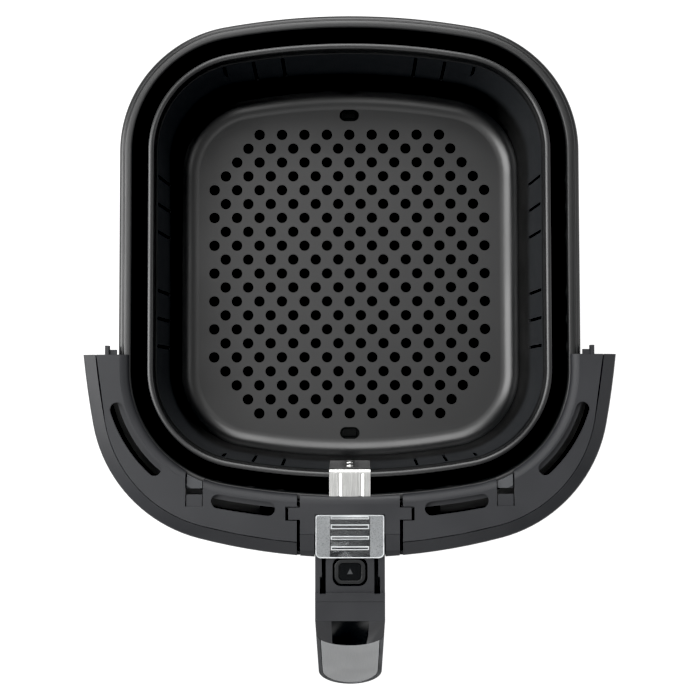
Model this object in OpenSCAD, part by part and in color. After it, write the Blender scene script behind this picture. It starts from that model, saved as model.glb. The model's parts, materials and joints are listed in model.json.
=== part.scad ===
// Drawer of an air fryer: a deep pan with a curved front housing, and a perforated
// basket whose handle drops into the housing and locks there.
// Millimetres, +Z up, the handle points along -Y. The origin is at the middle of the
// footprint, on the surface that the pan stands on. Inside the modules, Y is counted
// from the middle of the basket.

/* [Basket] */
// Width over the rolled rim
basket_w = 244.4; // [225:0.1:260]
// Length over the rolled rim
basket_l = 264; // [245:1:280]
// Corner radius of the rim, seen from above
basket_corner_r = 60; // [50:1:70]
// Height of the rim above the table
rim_h = 112; // [106:1:125]
// Height of the floor's upper face above the table
floor_h = 28.5; // [22:0.5:34]
// Sheet thickness of the basket
basket_t = 1.2; // [0.8:0.1:1.8]
// Diameter of the rolled rim
bead_d = 4.2; // [3.6:0.1:5]
// How far the wall leans in between rim and floor
wall_lean = 4.8; // [3:0.2:7]
// Radius between wall and floor, inside
floor_r = 11; // [8:0.5:13]
// Diameter of the holes in the floor
hole_d = 7.1; // [5:0.1:8]
// Distance between the holes of a row
hole_pitch = 15.2; // [14:0.1:15.6]
// Distance between the rows of holes
row_pitch = 9.43; // [9.1:0.01:9.6]
// Width of the slits high in the walls
slit_w = 1.8; // [1:0.1:2.6]
// Height of the slits
slit_h = 33; // [12:1:34]

/* [Pan] */
// Gap between the basket's rim and the pan's wall
pan_gap = 8.3; // [7:0.1:10]
// Width of the pan's rim
pan_rim_w = 9; // [8:0.5:10]
// How far the basket's rim stands above the pan's rim
rim_above_pan = 1; // [0.5:0.1:2]
// Sheet thickness of the pan
pan_t = 1; // [0.8:0.1:1.4]
// How far the pan's wall leans in between rim and floor
pan_lean = 5.5; // [4:0.5:7]

/* [Front housing] */
// Distance from the pan's rim to the front of the housing
housing_depth = 29.6; // [28:0.1:36]
// Distance from the pan's rim to the side of the housing
housing_side = 23.4; // [22:0.1:30]
// Distance from the front back to the ends of the housing
housing_wrap = 121.2; // [110:0.1:130]
// Corner radius of the housing, seen from above
housing_corner_r = 86.3; // [80:0.1:92]
// Height of the frame above the basket's rim
frame_rise = 4.5; // [4:0.1:6]
// Thickness of the frame, the fascia and the liner
shell_t = 2.5; // [2:0.1:3]
// Width of the sloping band round the frame
band_w = 8; // [7:0.5:10]
// Drop of the band from its inner to its outer edge
band_drop = 3.5; // [2:0.5:5]
// Height of the fascia's lower edge above the table
fascia_foot = 7; // [5:0.5:12]
// Distance from the basket's rim to the frame's inner edge
frame_gap = 10.2; // [9.9:0.1:11]
// Distance from the basket's rim to the middle of the vents
vent_place = 20.3; // [20:0.1:22]
// Width of the vents
vent_w = 8.4; // [6:0.1:9]

/* [Handle] */
// Width of the block that drops into the housing
block_w = 59.4; // [54:0.2:64]
// Width over the ears of the block
ear_w = 73.2; // [70:0.2:76]
// Length of the ears along the handle
ear_l = 7.2; // [6:0.2:8]
// Depth of the block below the frame's top
block_h = 35.5; // [33:0.5:38]
// Gap round the block
block_gap = 1.8; // [1:0.1:2]
// Width of arm and grip
arm_w = 41.5; // [40:0.5:44]
// Length of the arm in front of the housing
arm_l = 37; // [35:1:44]
// Height of the arm
arm_h = 20; // [19:0.5:24]
// Length of the grip
grip_l = 117.3; // [100:0.1:118]
// Thickness of the grip
grip_t = 20; // [18:0.5:23]
// Lean of the grip from the vertical, degrees
grip_lean = 31.6; // [26:0.1:34]
// Length of the rounded end of the grip
grip_end_l = 27; // [20:1:30]

/* [Guard, button and latch] */
// Width of the clear guard
guard_w = 40.8; // [38:0.2:41]
// Length of the clear guard
guard_l = 25.5; // [24:0.5:26]
// Thickness of the clear guard
guard_t = 2.4; // [2:0.1:3]
// Travel of the clear guard
guard_travel = 18; // [14:0.5:18]
// Width of the release button
button_w = 18.4; // [17:0.2:19]
// Length of the release button
button_l = 14.6; // [13:0.2:15.2]
// Travel of the release button
button_travel = 3.5; // [2:0.5:3.5]
// Diameter of the lever's pin
pin_d = 3; // [2.5:0.1:3.5]
// Width of the strap over the rim
strap_w = 24.6; // [22:0.2:26]
// Thickness of the strap
strap_t = 1.5; // [1.2:0.1:1.5]

/* [Hidden] */
$fn = 48;

steel = "#9fa3a6";
coated = "#2b2c2e";
black_plastic = "#38393b";
grey_metal = "#a5a7a9";

// An outline is [half width, half length, corner, side and end radius]: a rounded
// rectangle with bowed ends and sides, or straight sides where the side radius is 0.
// It is made of tangent arcs, whose angles are rounded so that neighbours meet exactly.
end_bow_r = 410;
pan_h = rim_h - rim_above_pan;
rim = [basket_w / 2, basket_l / 2, basket_corner_r, 0, end_bow_r];
pan_edge = pan_gap + pan_rim_w;
housing_side_r = 544;
housing_front_r = 360;
housing = [rim[0] + pan_edge + housing_side, rim[1] + pan_edge + housing_depth,
    housing_corner_r, housing_side_r, housing_front_r];

function rounded(v, parts = 1000) = round(v * parts) / parts;
function grow(o, d) = [o[0] + d, o[1] + d, o[2] + d, o[3] > 0 ? o[3] + d : 0, o[4] + d];
function corner(o) =
    let (sx = o[0] - o[3], ey = o[1] - o[4], d = norm([sx, ey]),
        u = [-sx, ey] / d, r1 = o[3] - o[2], r2 = o[4] - o[2], x = o[0] - o[2],
        along = (r1 * r1 - r2 * r2 + d * d) / (2 * d), h = sqrt(max(0, r1 * r1 - along * along)))
    o[3] > 0 ? [sx + along * u[0] - h * u[1], along * u[1] + h * u[0]]
        : [x, ey + sqrt(r2 * r2 - x * x)];
// Eight pieces, counterclockwise from the right side: centre x, centre y, radius, first
// and last angle. A straight side has its first point, and 0 for its radius.
function arcs(o) =
    let (c = corner(o), bow = o[3] > 0, r1 = o[3] - o[2], r2 = o[4] - o[2],
        s = bow ? rounded(atan2(c[1], c[0] - o[0] + o[3])) : 0,
        e = rounded(atan2(c[1] - o[1] + o[4], c[0])),
        x = r2 * cos(e), y = bow ? r1 * sin(s) : rounded(c[1], 100),
        side = bow ? x - r1 * cos(s) : x + o[2], end = y - r2 * sin(e))
    [[side, bow ? 0 : -y, o[3], -s, s], [x, y, o[2], s, e],
    [0, end, o[4], e, 180 - e], [-x, y, o[2], 180 - e, 180 - s],
    [-side, bow ? 0 : y, o[3], 180 - s, 180 + s], [-x, -y, o[2], 180 + s, 180 + e],
    [0, -end, o[4], 180 + e, 360 - e], [x, -y, o[2], 360 - e, 360 - s]];
arc_steps = [4, 14, 8, 14, 4, 14, 8, 14];
function arc_points(a, n) = a[2] > 0
    ? [for (k = [0:n - 1]) let (t = a[3] + (a[4] - a[3]) * k / n) [a[0] + a[2] * cos(t), a[1] + a[2] * sin(t)]]
    : [[a[0], a[1]]];
function outline(o) = let (a = arcs(o)) [for (i = [0:7]) each arc_points(a[i], arc_steps[i])];
whole_round = [0, 1, 2, 3, 4, 5, 6, 7];
front_round = [4, 5, 6, 7, 0];
front_arc = 6;
left_corner = 5;

// Heights
top_h = rim_h + frame_rise;
plate_h = top_h - shell_t;
block_foot = top_h - block_h;
ear_h = 12.3;
ear_foot = top_h - ear_h;
ear_set = 1.5;
arm_top = top_h - 2.3;
arm_foot = arm_top - arm_h;
cover_t = 2.5;

// Places along Y, counted from the basket's middle
rear_y = rim[1] + pan_edge;
housing_y = -housing[1];
housing_end_y = housing_y + housing_wrap;
block_rear_y = -(rim[1] + frame_gap + 0.3);
block_body_y = -(rim[1] + pan_edge + 1);
ear_front_y = block_body_y + ear_set - ear_l;
block_seam_y = block_rear_y - 22;
block_front_y = housing_y + 4.6;
arm_end_y = housing_y - arm_l;
tip_y = arm_end_y - grip_l * sin(grip_lean);
basket_y = -(rear_y + tip_y) / 2;

guard_rear_y = block_rear_y - 10.7;
guard_front_y = guard_rear_y - guard_l;
button_y = guard_front_y - 8.3;
ridge_y = guard_front_y - guard_travel - 2.3;
pivot_y = block_body_y - 14;
pivot_h = arm_top - 11;
lever_reach = 20;
hook_foot = block_foot - 9;

clear = 0.3;
wall = 2.2;
screw_d = 3;
screw_head_d = 6;

module at_basket() translate([0, basket_y, 0]) children();
module both_sides() {
    children();
    mirror([1, 0, 0]) children();
}
// A box from its lowest to its highest corner
module block(low, high) translate(low) cube(high - low);
// A box that is symmetrical about the middle plane
module mid_block(w, low, high) block([-w / 2, low[0], low[1]], [w / 2, high[0], high[1]]);

// Moves by all digits of x and y
module exactly(x, y) translate([rounded(x), rounded(y), 0])
    translate([x - rounded(x), y - rounded(y), 0]) children();
// Carries a profile (x outward from the outline, y up) along the pieces of an outline
module sweep(o, which = whole_round) {
    for (i = which) {
        a = arcs(o)[i];
        if (a[2] > 0)
            exactly(a[0], a[1]) rotate_extrude(start = a[3], angle = a[4] - a[3], $fn = a[2] > 200 ? 1440 : 180)
                translate([a[2], 0]) children();
        else
            mirror([a[0] < 0 ? 1 : 0, 0, 0]) exactly(abs(a[0]), abs(a[1])) rotate([90, 0, 0])
                linear_extrude(2 * abs(a[1])) children();
    }
}
module prism(o, low, high) translate([0, 0, low]) linear_extrude(high - low) polygon(outline(o));
module ring(outer, inner, low, high)
    translate([0, 0, low]) linear_extrude(high - low) difference() {
        polygon(outline(outer));
        polygon(outline(inner));
    }
// The half space in front of a plane, as a box
module ahead(y) mid_block(2 * housing[0] + 20, [housing_y - 20, -1], [y, top_h + 20]);
// A slot with round ends along one arc, from angle a0 to a1
module arc_slot(a, a0, a1, w, low, high) {
    translate([a[0], a[1], low]) {
        rotate_extrude(start = a0, angle = a1 - a0, $fn = 180)
            translate([a[2] - w / 2, 0]) square([w, high - low]);
        for (t = [a0, a1])
            rotate([0, 0, t]) translate([a[2], 0, 0]) cylinder(d = w, h = high - low);
    }
}
module pill(w, l, low, high)
    translate([0, 0, low]) linear_extrude(high - low) {
        square([w - l, l], center = true);
        for (s = [-1, 1]) translate([s * (w - l) / 2, 0]) circle(d = l);
    }
module pad(w, l, r, low, high)
    translate([0, 0, low]) linear_extrude(high - low) {
        square([w - 2 * r, l], center = true);
        square([w, l - 2 * r], center = true);
        for (x = [-1, 1], y = [-1, 1])
            translate([x * (w / 2 - r), y * (l / 2 - r)]) circle(r);
    }
// A pan head screw with its head's underside at the origin and its shank along +Z
module screw(l, d = screw_d, head = screw_head_d) {
    head_h = 1.8;
    cylinder(d = d, h = l);
    difference() {
        translate([0, 0, -head_h]) cylinder(d = head, h = head_h);
        for (a = [0, 90])
            rotate([0, 0, a]) translate([-head / 3, -0.4, -head_h - 0.1]) cube([head / 1.5, 0.8, 1]);
    }
}
// A round arc of points, for corners of profiles
function bend(c, r, a0, a1, n = 6) =
    [for (k = [0:n]) let (t = a0 + (a1 - a0) * k / n) [c[0] + r * cos(t), c[1] + r * sin(t)]];

// ---------------------------------------------------------------- pan
pan_wall_top = pan_gap + 0.5;
pan_foot = pan_wall_top - pan_lean;
pan_corner = 12;
rim_lip_h = 7;
module pan_profile() {
    lean = atan2(pan_lean, pan_h - 4 - pan_corner);
    c_in = [pan_foot - pan_corner, pan_corner];
    polygon(concat(
        [[pan_foot - pan_corner - 6, pan_t], [pan_foot - pan_corner, pan_t]],
        bend(c_in, pan_corner - pan_t, -80, -lean),
        [[pan_wall_top, pan_h - 3], [pan_wall_top + 0.7, pan_h - 0.8], [pan_wall_top + 2, pan_h],
        [pan_wall_top + 3, pan_h - 0.1], [pan_edge - 0.6, pan_h - 2.4], [pan_edge, pan_h - 3.2],
        [pan_edge, pan_h - 3 - rim_lip_h], [pan_edge - pan_t, pan_h - 3 - rim_lip_h],
        [pan_edge - pan_t, pan_h - 3.4], [pan_wall_top + 3, pan_h - pan_t - 0.2],
        [pan_wall_top + 1.9, pan_h - pan_t - 0.4], [pan_wall_top + pan_t, pan_h - 3.4]],
        bend(c_in, pan_corner, -lean, -90),
        [[pan_foot - pan_corner - 6, 0]]));
}
module outer_pan() {
    floor_inset = pan_foot - pan_corner;
    color(coated) at_basket() {
        sweep(rim) pan_profile();
        prism(grow(rim, floor_inset - 3), 0, pan_t);
        // A pressed rib round the floor
        sweep(rim) translate([floor_inset - 29, 0]) polygon([[-3, pan_t - 0.3], [3, pan_t - 0.3],
            [1.6, pan_t + 1.2], [-1.6, pan_t + 1.2]]);
    }
}

support_y = rim[1] - 24.5;
floor_foot = floor_h - basket_t;
saddle_w = 22;
saddle_l = 11;
saddle_t = 1.2;
slot_w = 13.2;
slot_l = 8;
// A hat of sheet steel on the pan's floor, with a tab up into the basket's slot
module saddle() {
    difference() {
        mid_block(saddle_w, [-saddle_l / 2, pan_t], [saddle_l / 2, floor_foot]);
        mid_block(saddle_w - 2 * saddle_t, [-saddle_l, pan_t - 1], [saddle_l, floor_foot - saddle_t]);
    }
    both_sides() block([saddle_w / 2 - saddle_t, -saddle_l / 2, pan_t],
        [saddle_w / 2 + 7, saddle_l / 2, pan_t + saddle_t]);
    mid_block(slot_w - 4.2, [-slot_l / 2 + 1.9, floor_foot - saddle_t],
        [slot_l / 2 - 1.9, floor_h - 0.4]);
}
module rear_support() color(steel) at_basket() translate([0, support_y, 0]) saddle();
module front_support() color(steel) at_basket() translate([0, -support_y, 0]) saddle();

window_w = 10.5;
window_x = rim[0] - 29.6;
window_front = -(rim[1] + 16);
clip_w = window_w - 1.4;
// Two clips that grip the pan's rim and press the frame down on it
module pan_clips() color(black_plastic) at_basket() both_sides() intersection() {
    block([window_x - clip_w / 2, window_front + 10.6, pan_h - 12],
        [window_x + clip_w / 2, window_front + 40, top_h]);
    sweep(rim, [left_corner, front_arc, 7]) polygon([[pan_edge - 5.5, pan_h + 0.2],
        [pan_edge + 0.3, pan_h - 0.2], [pan_edge + 0.3, pan_h - 3 - rim_lip_h],
        [pan_edge + 1.8, pan_h - 3 - rim_lip_h], [pan_edge + 1.8, top_h - 2.2],
        [pan_edge + 0.4, top_h - 1.4], [pan_edge - 5.5, pan_h + 2.2]]);
}

liner_gap = 26;
bracket_h = 66;
bracket_angle = 6.5;
bracket_w = 16;
bracket_t = 1.5;
pan_wall_lean = atan2(pan_lean + pan_t, pan_h - 3.4 - pan_corner);
// How far outside the basket's outline the pan's outer face is
function pan_wall_at(h) = pan_foot + (h - pan_corner) * tan(pan_wall_lean);
// Two welded hats between the pan's wall and the liner
module pan_brackets() {
    a = arcs(rim)[front_arc];
    reach = liner_gap - 0.1;
    color(steel) at_basket() for (t = [270 - bracket_angle, 270 + bracket_angle])
        translate([a[0], a[1], 0]) rotate([0, 0, t]) translate([a[2], 0, bracket_h]) {
            block([pan_wall_at(bracket_h) + 1, -bracket_w / 2, 0], [reach, bracket_w / 2, bracket_t]);
            translate([pan_wall_at(bracket_h) + 0.03, 0, 0]) rotate([0, pan_wall_lean, 0])
                block([0, -bracket_w / 2, -12], [bracket_t, bracket_w / 2, bracket_t]);
            difference() {
                block([reach - bracket_t, -bracket_w / 2, -12], [reach, bracket_w / 2, bracket_t]);
                translate([liner_gap - 2, 0, -6]) rotate([0, 90, 0]) cylinder(d = screw_d, h = 3);
            }
        }
}
module bracket_screws() {
    a = arcs(rim)[front_arc];
    color(steel) at_basket() for (t = [270 - bracket_angle, 270 + bracket_angle])
        translate([a[0], a[1], 0]) rotate([0, 0, t])
            translate([a[2] + liner_gap + shell_t + 0.03, 0, bracket_h - 6]) rotate([0, -90, 0]) screw(shell_t + 3);
}

// ---------------------------------------------------------------- front housing
notch_w = block_w + 2 * block_gap;
ear_notch_w = ear_w + 2 * block_gap;
pocket_floor = block_foot - clear - shell_t;
lip_w = 5.8;
skirt_in = pan_edge + 0.4;
skirt_out = skirt_in + 1.6;
// A quarter of an ellipse that climbs from a vertical start to a level end
function roll(x, h, w, rise) = [for (t = [0:15:90]) [x + w * (1 - cos(t)), h + rise * sin(t)]];
boss_d = 7;
// Screw bosses: angle on the housing's left corner arc or front arc
function boss_places() =
    let (c = arcs(housing)[left_corner], f = arcs(housing)[front_arc], inset = 12.2)
    [[c[0] + (c[2] - inset) * cos(222), c[1] + (c[2] - inset) * sin(222)],
    [f[0] + (f[2] - inset) * cos(258), f[1] + (f[2] - inset) * sin(258)]];

module vents() {
    c = arcs(grow(rim, vent_place))[left_corner];
    f = arcs(grow(rim, vent_place))[front_arc];
    both_sides() {
        arc_slot(c, 197.4, 227.6, vent_w, top_h - 3.4, top_h + 1);
        arc_slot(f, 259.5, 263.5, vent_w, top_h - 3.4, top_h + 1);
    }
}
module notch(low) mid_block(notch_w, [housing_y - 5, low], [-rim[1], top_h + 1]);
module ear_notch() {
    mid_block(ear_notch_w, [ear_front_y - 0.5, ear_foot], [block_body_y + 0.6, top_h + 1]);
    mid_block(ear_notch_w, [ear_front_y - 0.5, plate_h - 0.5], [block_body_y + ear_set + 0.6, top_h + 1]);
}
// Walls across the housing's two ends, out to a distance from its outline
module end_webs(out, low, high) intersection() {
    difference() {
        prism(grow(housing, out), low, high);
        prism(grow(rim, pan_edge + 1), low - 1, high + 1);
    }
    mid_block(2 * housing[0], [housing_end_y - shell_t - 0.05, low - 1], [housing_end_y - 0.05, high + 1]);
}
module front_frame() {
    band = grow(housing, -band_w - clear);
    color(black_plastic) at_basket() {
        difference() {
            intersection() {
                union() {
                    ring(band, grow(rim, frame_gap + lip_w - 1), plate_h, top_h);
                    sweep(rim, front_round) polygon(concat(roll(frame_gap, rim_h - 0.2, lip_w, frame_rise + 0.2),
                        [[skirt_in + 0.5, top_h], [skirt_in + 0.5, pan_h + 0.15],
                        [frame_gap + 2.4, pan_h + 0.15], [frame_gap + 1, rim_h - 0.6]]));
                    sweep(rim, front_round) translate([skirt_in, pan_h - 12])
                        square([skirt_out - skirt_in, plate_h - pan_h + 12.5]);
                    ring(band, grow(band, -1.8), plate_h - 8, plate_h + 0.5);
                }
                ahead(housing_end_y);
            }
            vents();
            both_sides() block([window_x - window_w / 2, window_front, pan_h - 14],
                [window_x + window_w / 2, -rim[1] + 20, top_h + 1]);
            notch(0);
            ear_notch();
        }
        // Tongues in the windows
        both_sides() block([window_x - window_w / 2 + 0.6, window_front - 1, plate_h],
            [window_x + window_w / 2 - 0.6, window_front + 7, top_h - 0.7]);
        // Pocket for the handle's block
        difference() {
            union() {
                mid_block(ear_notch_w + 2 * wall, [ear_front_y - 0.5 - wall, ear_foot - 3.6],
                    [-(rim[1] + pan_edge + 0.5), plate_h + 0.5]);
                mid_block(notch_w + 2 * wall, [block_front_y + 1.5, pocket_floor],
                    [-(rim[1] + pan_edge + 0.5), top_h - band_drop - shell_t - clear]);
                mid_block(notch_w + 2 * wall, [housing_y + band_w + 2.4, pocket_floor],
                    [-(rim[1] + pan_edge + 0.5), plate_h + 0.5]);
            }
            mid_block(notch_w, [housing_y, pocket_floor + shell_t], [-rim[1], top_h + 1]);
            mid_block(ear_notch_w, [ear_front_y - 0.5, ear_foot], [-rim[1], top_h + 1]);
            mid_block(13, [pivot_y - 2.4, pocket_floor - 1], [pivot_y + 12.6, pocket_floor + shell_t + 1]);
            for (x = [-1, 1]) translate([x * 16, pivot_y + 4, pocket_floor - 1]) cylinder(d = screw_d, h = 5);
        }
        // Bosses for the liner's screws
        both_sides() for (p = boss_places()) translate([p[0], p[1], top_h - 22]) difference() {
            cylinder(d = boss_d, h = 22 - shell_t + 0.5);
            translate([0, 0, -1]) cylinder(d = screw_d, h = 12);
        }
        end_webs(-band_w - clear, pan_h - 12, plate_h + 0.5);
        end_webs(-shell_t - clear, pan_h - 12, top_h - band_drop - shell_t - clear);
        // Hooks behind the ends
        both_sides() {
            x = rim[0] + pan_edge;
            block([x + 0.2, housing_end_y - 1, top_h - 5], [x + 6.6, housing_end_y + 3, top_h - 2.4]);
            block([x + 4.4, housing_end_y - 1, top_h - 5], [x + 6.6, housing_end_y + 5.4, top_h - 0.4]);
        }
    }
}

module fascia_profile() polygon([[-band_w, top_h], [-0.8, top_h - band_drop + 0.4], [0, top_h - band_drop - 0.8],
    [0, fascia_foot + 1.5], [-1.2, fascia_foot], [-11, fascia_foot], [-11, fascia_foot + shell_t],
    [-shell_t, fascia_foot + shell_t], [-shell_t, top_h - band_drop - shell_t], [-band_w, plate_h]]);
module front_fascia() color(black_plastic) at_basket() difference() {
    intersection() {
        sweep(housing, front_round) fascia_profile();
        ahead(housing_end_y);
    }
    notch(top_h - 7);
    mid_block(block_w + 2 * clear, [housing_y - 5, block_foot - block_gap], [-rim[1], top_h]);
    both_sides() for (p = boss_places()) translate([p[0], p[1], 0]) cylinder(d = screw_d, h = fascia_foot + 5);
}

liner_top = top_h - 22;
liner_floor = fascia_foot + shell_t;
module housing_liner() color(black_plastic) at_basket() difference() {
    union() {
        intersection() {
            union() {
                sweep(rim, front_round) translate([liner_gap, liner_floor]) square([shell_t, liner_top - liner_floor]);
                ring(grow(housing, -shell_t - clear), grow(rim, liner_gap + 1), liner_floor, liner_floor + shell_t);
            }
            ahead(housing_end_y - 0.05);
        }
        end_webs(-shell_t - clear, liner_floor, pan_h - 12 - clear);
        // Posts under the frame's bosses
        both_sides() for (p = boss_places()) translate([p[0], p[1], liner_floor]) cylinder(d = boss_d + 2, h = liner_top - liner_floor);
    }
    // The pocket's room, the screw bores and the brackets' holes
    mid_block(ear_notch_w + 8, [housing_y, pocket_floor - 7], [-rim[1] - pan_edge + 3, top_h]);
    both_sides() for (p = boss_places()) translate([p[0], p[1], 0]) {
        cylinder(d = screw_d, h = top_h);
        translate([0, 0, liner_floor + 8]) cylinder(d = screw_head_d + 0.6, h = liner_top - liner_floor - 12);
    }
    a = arcs(rim)[front_arc];
    for (t = [270 - bracket_angle, 270 + bracket_angle])
        translate([a[0], a[1], 0]) rotate([0, 0, t])
            translate([a[2] + liner_gap - 1, 0, bracket_h - 6]) rotate([0, 90, 0]) cylinder(d = screw_d, h = shell_t + 2);
}
frame_screw_l = 13;
fascia_screw_l = liner_floor + 8 - fascia_foot - screw_head_d / 4;
module frame_screws() color(steel) at_basket() both_sides() for (p = boss_places())
    translate([p[0], p[1], liner_top - 4]) screw(frame_screw_l);
module fascia_screws() color(steel) at_basket() both_sides() for (p = boss_places())
    translate([p[0], p[1], fascia_foot]) screw(fascia_screw_l);

strike_t = 1.6;
strike_w = 0.74 * block_w;
strike_slot_w = 11.6;
module latch_strike() color(steel) at_basket() difference() {
    mid_block(strike_w, [block_front_y + 3, pocket_floor - strike_t], [block_body_y - 0.5, pocket_floor]);
    mid_block(strike_slot_w, [pivot_y - 2.2, pocket_floor - 3], [pivot_y + 12, pocket_floor + 1]);
    for (x = [-1, 1]) translate([x * 16, pivot_y + 4, pocket_floor - 4]) cylinder(d = screw_d, h = 5);
}
module strike_screws() color(steel) at_basket() for (x = [-1, 1])
    translate([x * 16, pivot_y + 4, pocket_floor - strike_t]) screw(shell_t + strike_t - 0.3);

// ---------------------------------------------------------------- basket
rim_in = -bead_d;
wall_top_h = rim_h - bead_d;
floor_in = rim_in - 1 - wall_lean - floor_r;
module basket_profile() {
    lean = atan2(wall_lean, wall_top_h - 2 - floor_h - floor_r);
    c = [floor_in, floor_h + floor_r];
    polygon(concat(
        [[floor_in - 5, floor_foot], [floor_in, floor_foot]],
        bend(c, floor_r + basket_t, -82, -lean),
        [[rim_in - 1 + basket_t, wall_top_h - 2.6], [rim_in + basket_t, wall_top_h - 1.2],
        [rim_in + basket_t, rim_h - bead_d / 2], [rim_in, rim_h - bead_d / 2],
        [rim_in, wall_top_h - 1.2], [rim_in - 1, wall_top_h - 2.6]],
        bend(c, floor_r, -lean, -90),
        [[floor_in - 5, floor_h]]));
    translate([-bead_d / 2, rim_h - bead_d / 2]) circle(d = bead_d, $fn = 24);
}
hole_rows = 21;
row_max = 13;
module floor_holes() for (row = [0:hole_rows - 1]) {
    count = min(9 + row, 9 + hole_rows - 1 - row, row % 2 == 0 ? row_max : row_max - 1);
    for (k = [0:count - 1])
        translate([(k - (count - 1) / 2) * hole_pitch, ((hole_rows - 1) / 2 - row) * row_pitch]) circle(d = hole_d, $fn = 24);
}
slit_group = [41, 59, 77];
side_slit_group = [18, 35, 52];
slit_top = wall_top_h - 5;
module wall_slits() both_sides() {
    for (x = slit_group, s = [-1, 1])
        block([x - slit_w / 2, s > 0 ? 60 : -rim[1] - 3, slit_top - slit_h],
            [x + slit_w / 2, s > 0 ? rim[1] + 3 : -60, slit_top]);
    for (y = side_slit_group, s = [-1, 1])
        block([rim[0] - 30, s * y - slit_w / 2, slit_top - slit_h], [rim[0] + 3, s * y + slit_w / 2, slit_top]);
}
// The front wall's own frame: z up along its inner face, y into the basket
front_lean = atan2(wall_lean, wall_top_h - 2 - floor_h - floor_r);
module on_front_wall() translate([0, -(rim[1] + rim_in - 1), wall_top_h - 2]) rotate([front_lean, 0, 0]) children();
rivet_z = [-4, -18];
rivet_d = 3.4;
module rivet_bores() on_front_wall() for (z = rivet_z)
    translate([0, 4, z]) rotate([90, 0, 0]) cylinder(d = rivet_d, h = 8);
module basket() color(coated) at_basket() difference() {
    union() {
        sweep(rim) basket_profile();
        translate([0, 0, floor_foot]) linear_extrude(basket_t) difference() {
            polygon(outline(grow(rim, floor_in - 2)));
            floor_holes();
        }
    }
    wall_slits();
    rivet_bores();
    for (s = [-1, 1]) translate([0, s * support_y, 0]) pill(slot_w, slot_l, floor_foot - 1, floor_h + 1);
}

strap_leg = 27;
strap_off = 0.3;
strap_over = rim_h + 0.3;
strap_block_y = block_body_y - wall - 0.1;
strap_screw_h = strap_over - 18;
strap_screw_x = 9.4;
strap_bend_r = 3.5;
groove_x = 6.7;
// A place in the front wall's frame, as [y, z]
function wall_place(out, up) = [-(rim[1] + rim_in - 1) + out * cos(front_lean) - up * sin(front_lean),
    wall_top_h - 2 + out * sin(front_lean) + up * cos(front_lean)];
// A strip bent into an upside-down U over the rim: one leg riveted inside the basket,
// the other screwed inside the handle's block, with two grooves along its top
module basket_strap() color(steel) at_basket() difference() {
    top = strap_over + strap_t;
    face = strap_off + strap_t;
    bend_h = top - strap_bend_r;
    foot = wall_place(face, -strap_leg);
    bend_y = foot[0] - (bend_h - foot[1]) * tan(front_lean) - strap_bend_r / cos(front_lean);
    union() {
        rotate([90, 0, 90]) translate([0, 0, -strap_w / 2]) linear_extrude(strap_w)
            polygon(concat([[strap_block_y - strap_t, strap_over], [strap_block_y - strap_t, top]],
                bend([bend_y, bend_h], strap_bend_r, 90, front_lean), [foot, wall_place(strap_off, -strap_leg)],
                bend([bend_y, bend_h], strap_bend_r - strap_t, front_lean, 90)));
        mid_block(strap_w, [strap_block_y - strap_t, strap_over - 24], [strap_block_y, top]);
    }
    for (x = [-1, 1])
        translate([x * groove_x, bend_y, top]) rotate([90, 0, 0]) linear_extrude(bend_y - strap_block_y + 4)
            polygon([[-1.7, 0.1], [1.7, 0.1], [0.4, -0.7], [-0.4, -0.7]]);
    rivet_bores();
    for (x = [-1, 1]) translate([x * strap_screw_x, strap_block_y + 1, strap_screw_h])
        rotate([90, 0, 0]) cylinder(d = screw_d, h = 5);
}
module strap_rivets() color(steel) at_basket() on_front_wall() for (z = rivet_z)
    translate([0, strap_off + strap_t, z]) rotate([90, 0, 0]) {
        translate([0, 0, -1.6]) cylinder(d1 = rivet_d, d2 = 6, h = 1.6);
        cylinder(d = rivet_d, h = strap_off + strap_t + basket_t + 0.3);
        translate([0, 0, strap_off + strap_t + basket_t + 0.2]) cylinder(d = 6, h = 1);
    }
module strap_screws() color(steel) at_basket() for (x = [-1, 1])
    translate([x * strap_screw_x, strap_block_y - strap_t, strap_screw_h]) rotate([-90, 0, 0]) screw(strap_t + wall, 3, 5);

// ---------------------------------------------------------------- handle
cover_foot = arm_top - cover_t;
split_h = ear_foot;
cover_rear_y = strap_block_y - strap_t - 0.4;
button_gap = 1.2;
well_w = button_w + 2 * button_gap;
well_l = button_l + 2 * button_gap;
ridge_l = 5.1;
rail_x = 15.6;
rail_w = 2.4;
module rail_slots() both_sides() {
    block([rail_x - rail_w / 2, ridge_y - 0.9, cover_foot - 1], [rail_x + rail_w / 2, guard_front_y + 6, arm_top + 2]);
    block([rail_x - rail_w / 2, ridge_y - 0.9, cover_foot - 1], [rail_x + rail_w / 2 + 1.1, ridge_y + 9, arm_top + 2]);
}
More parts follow.
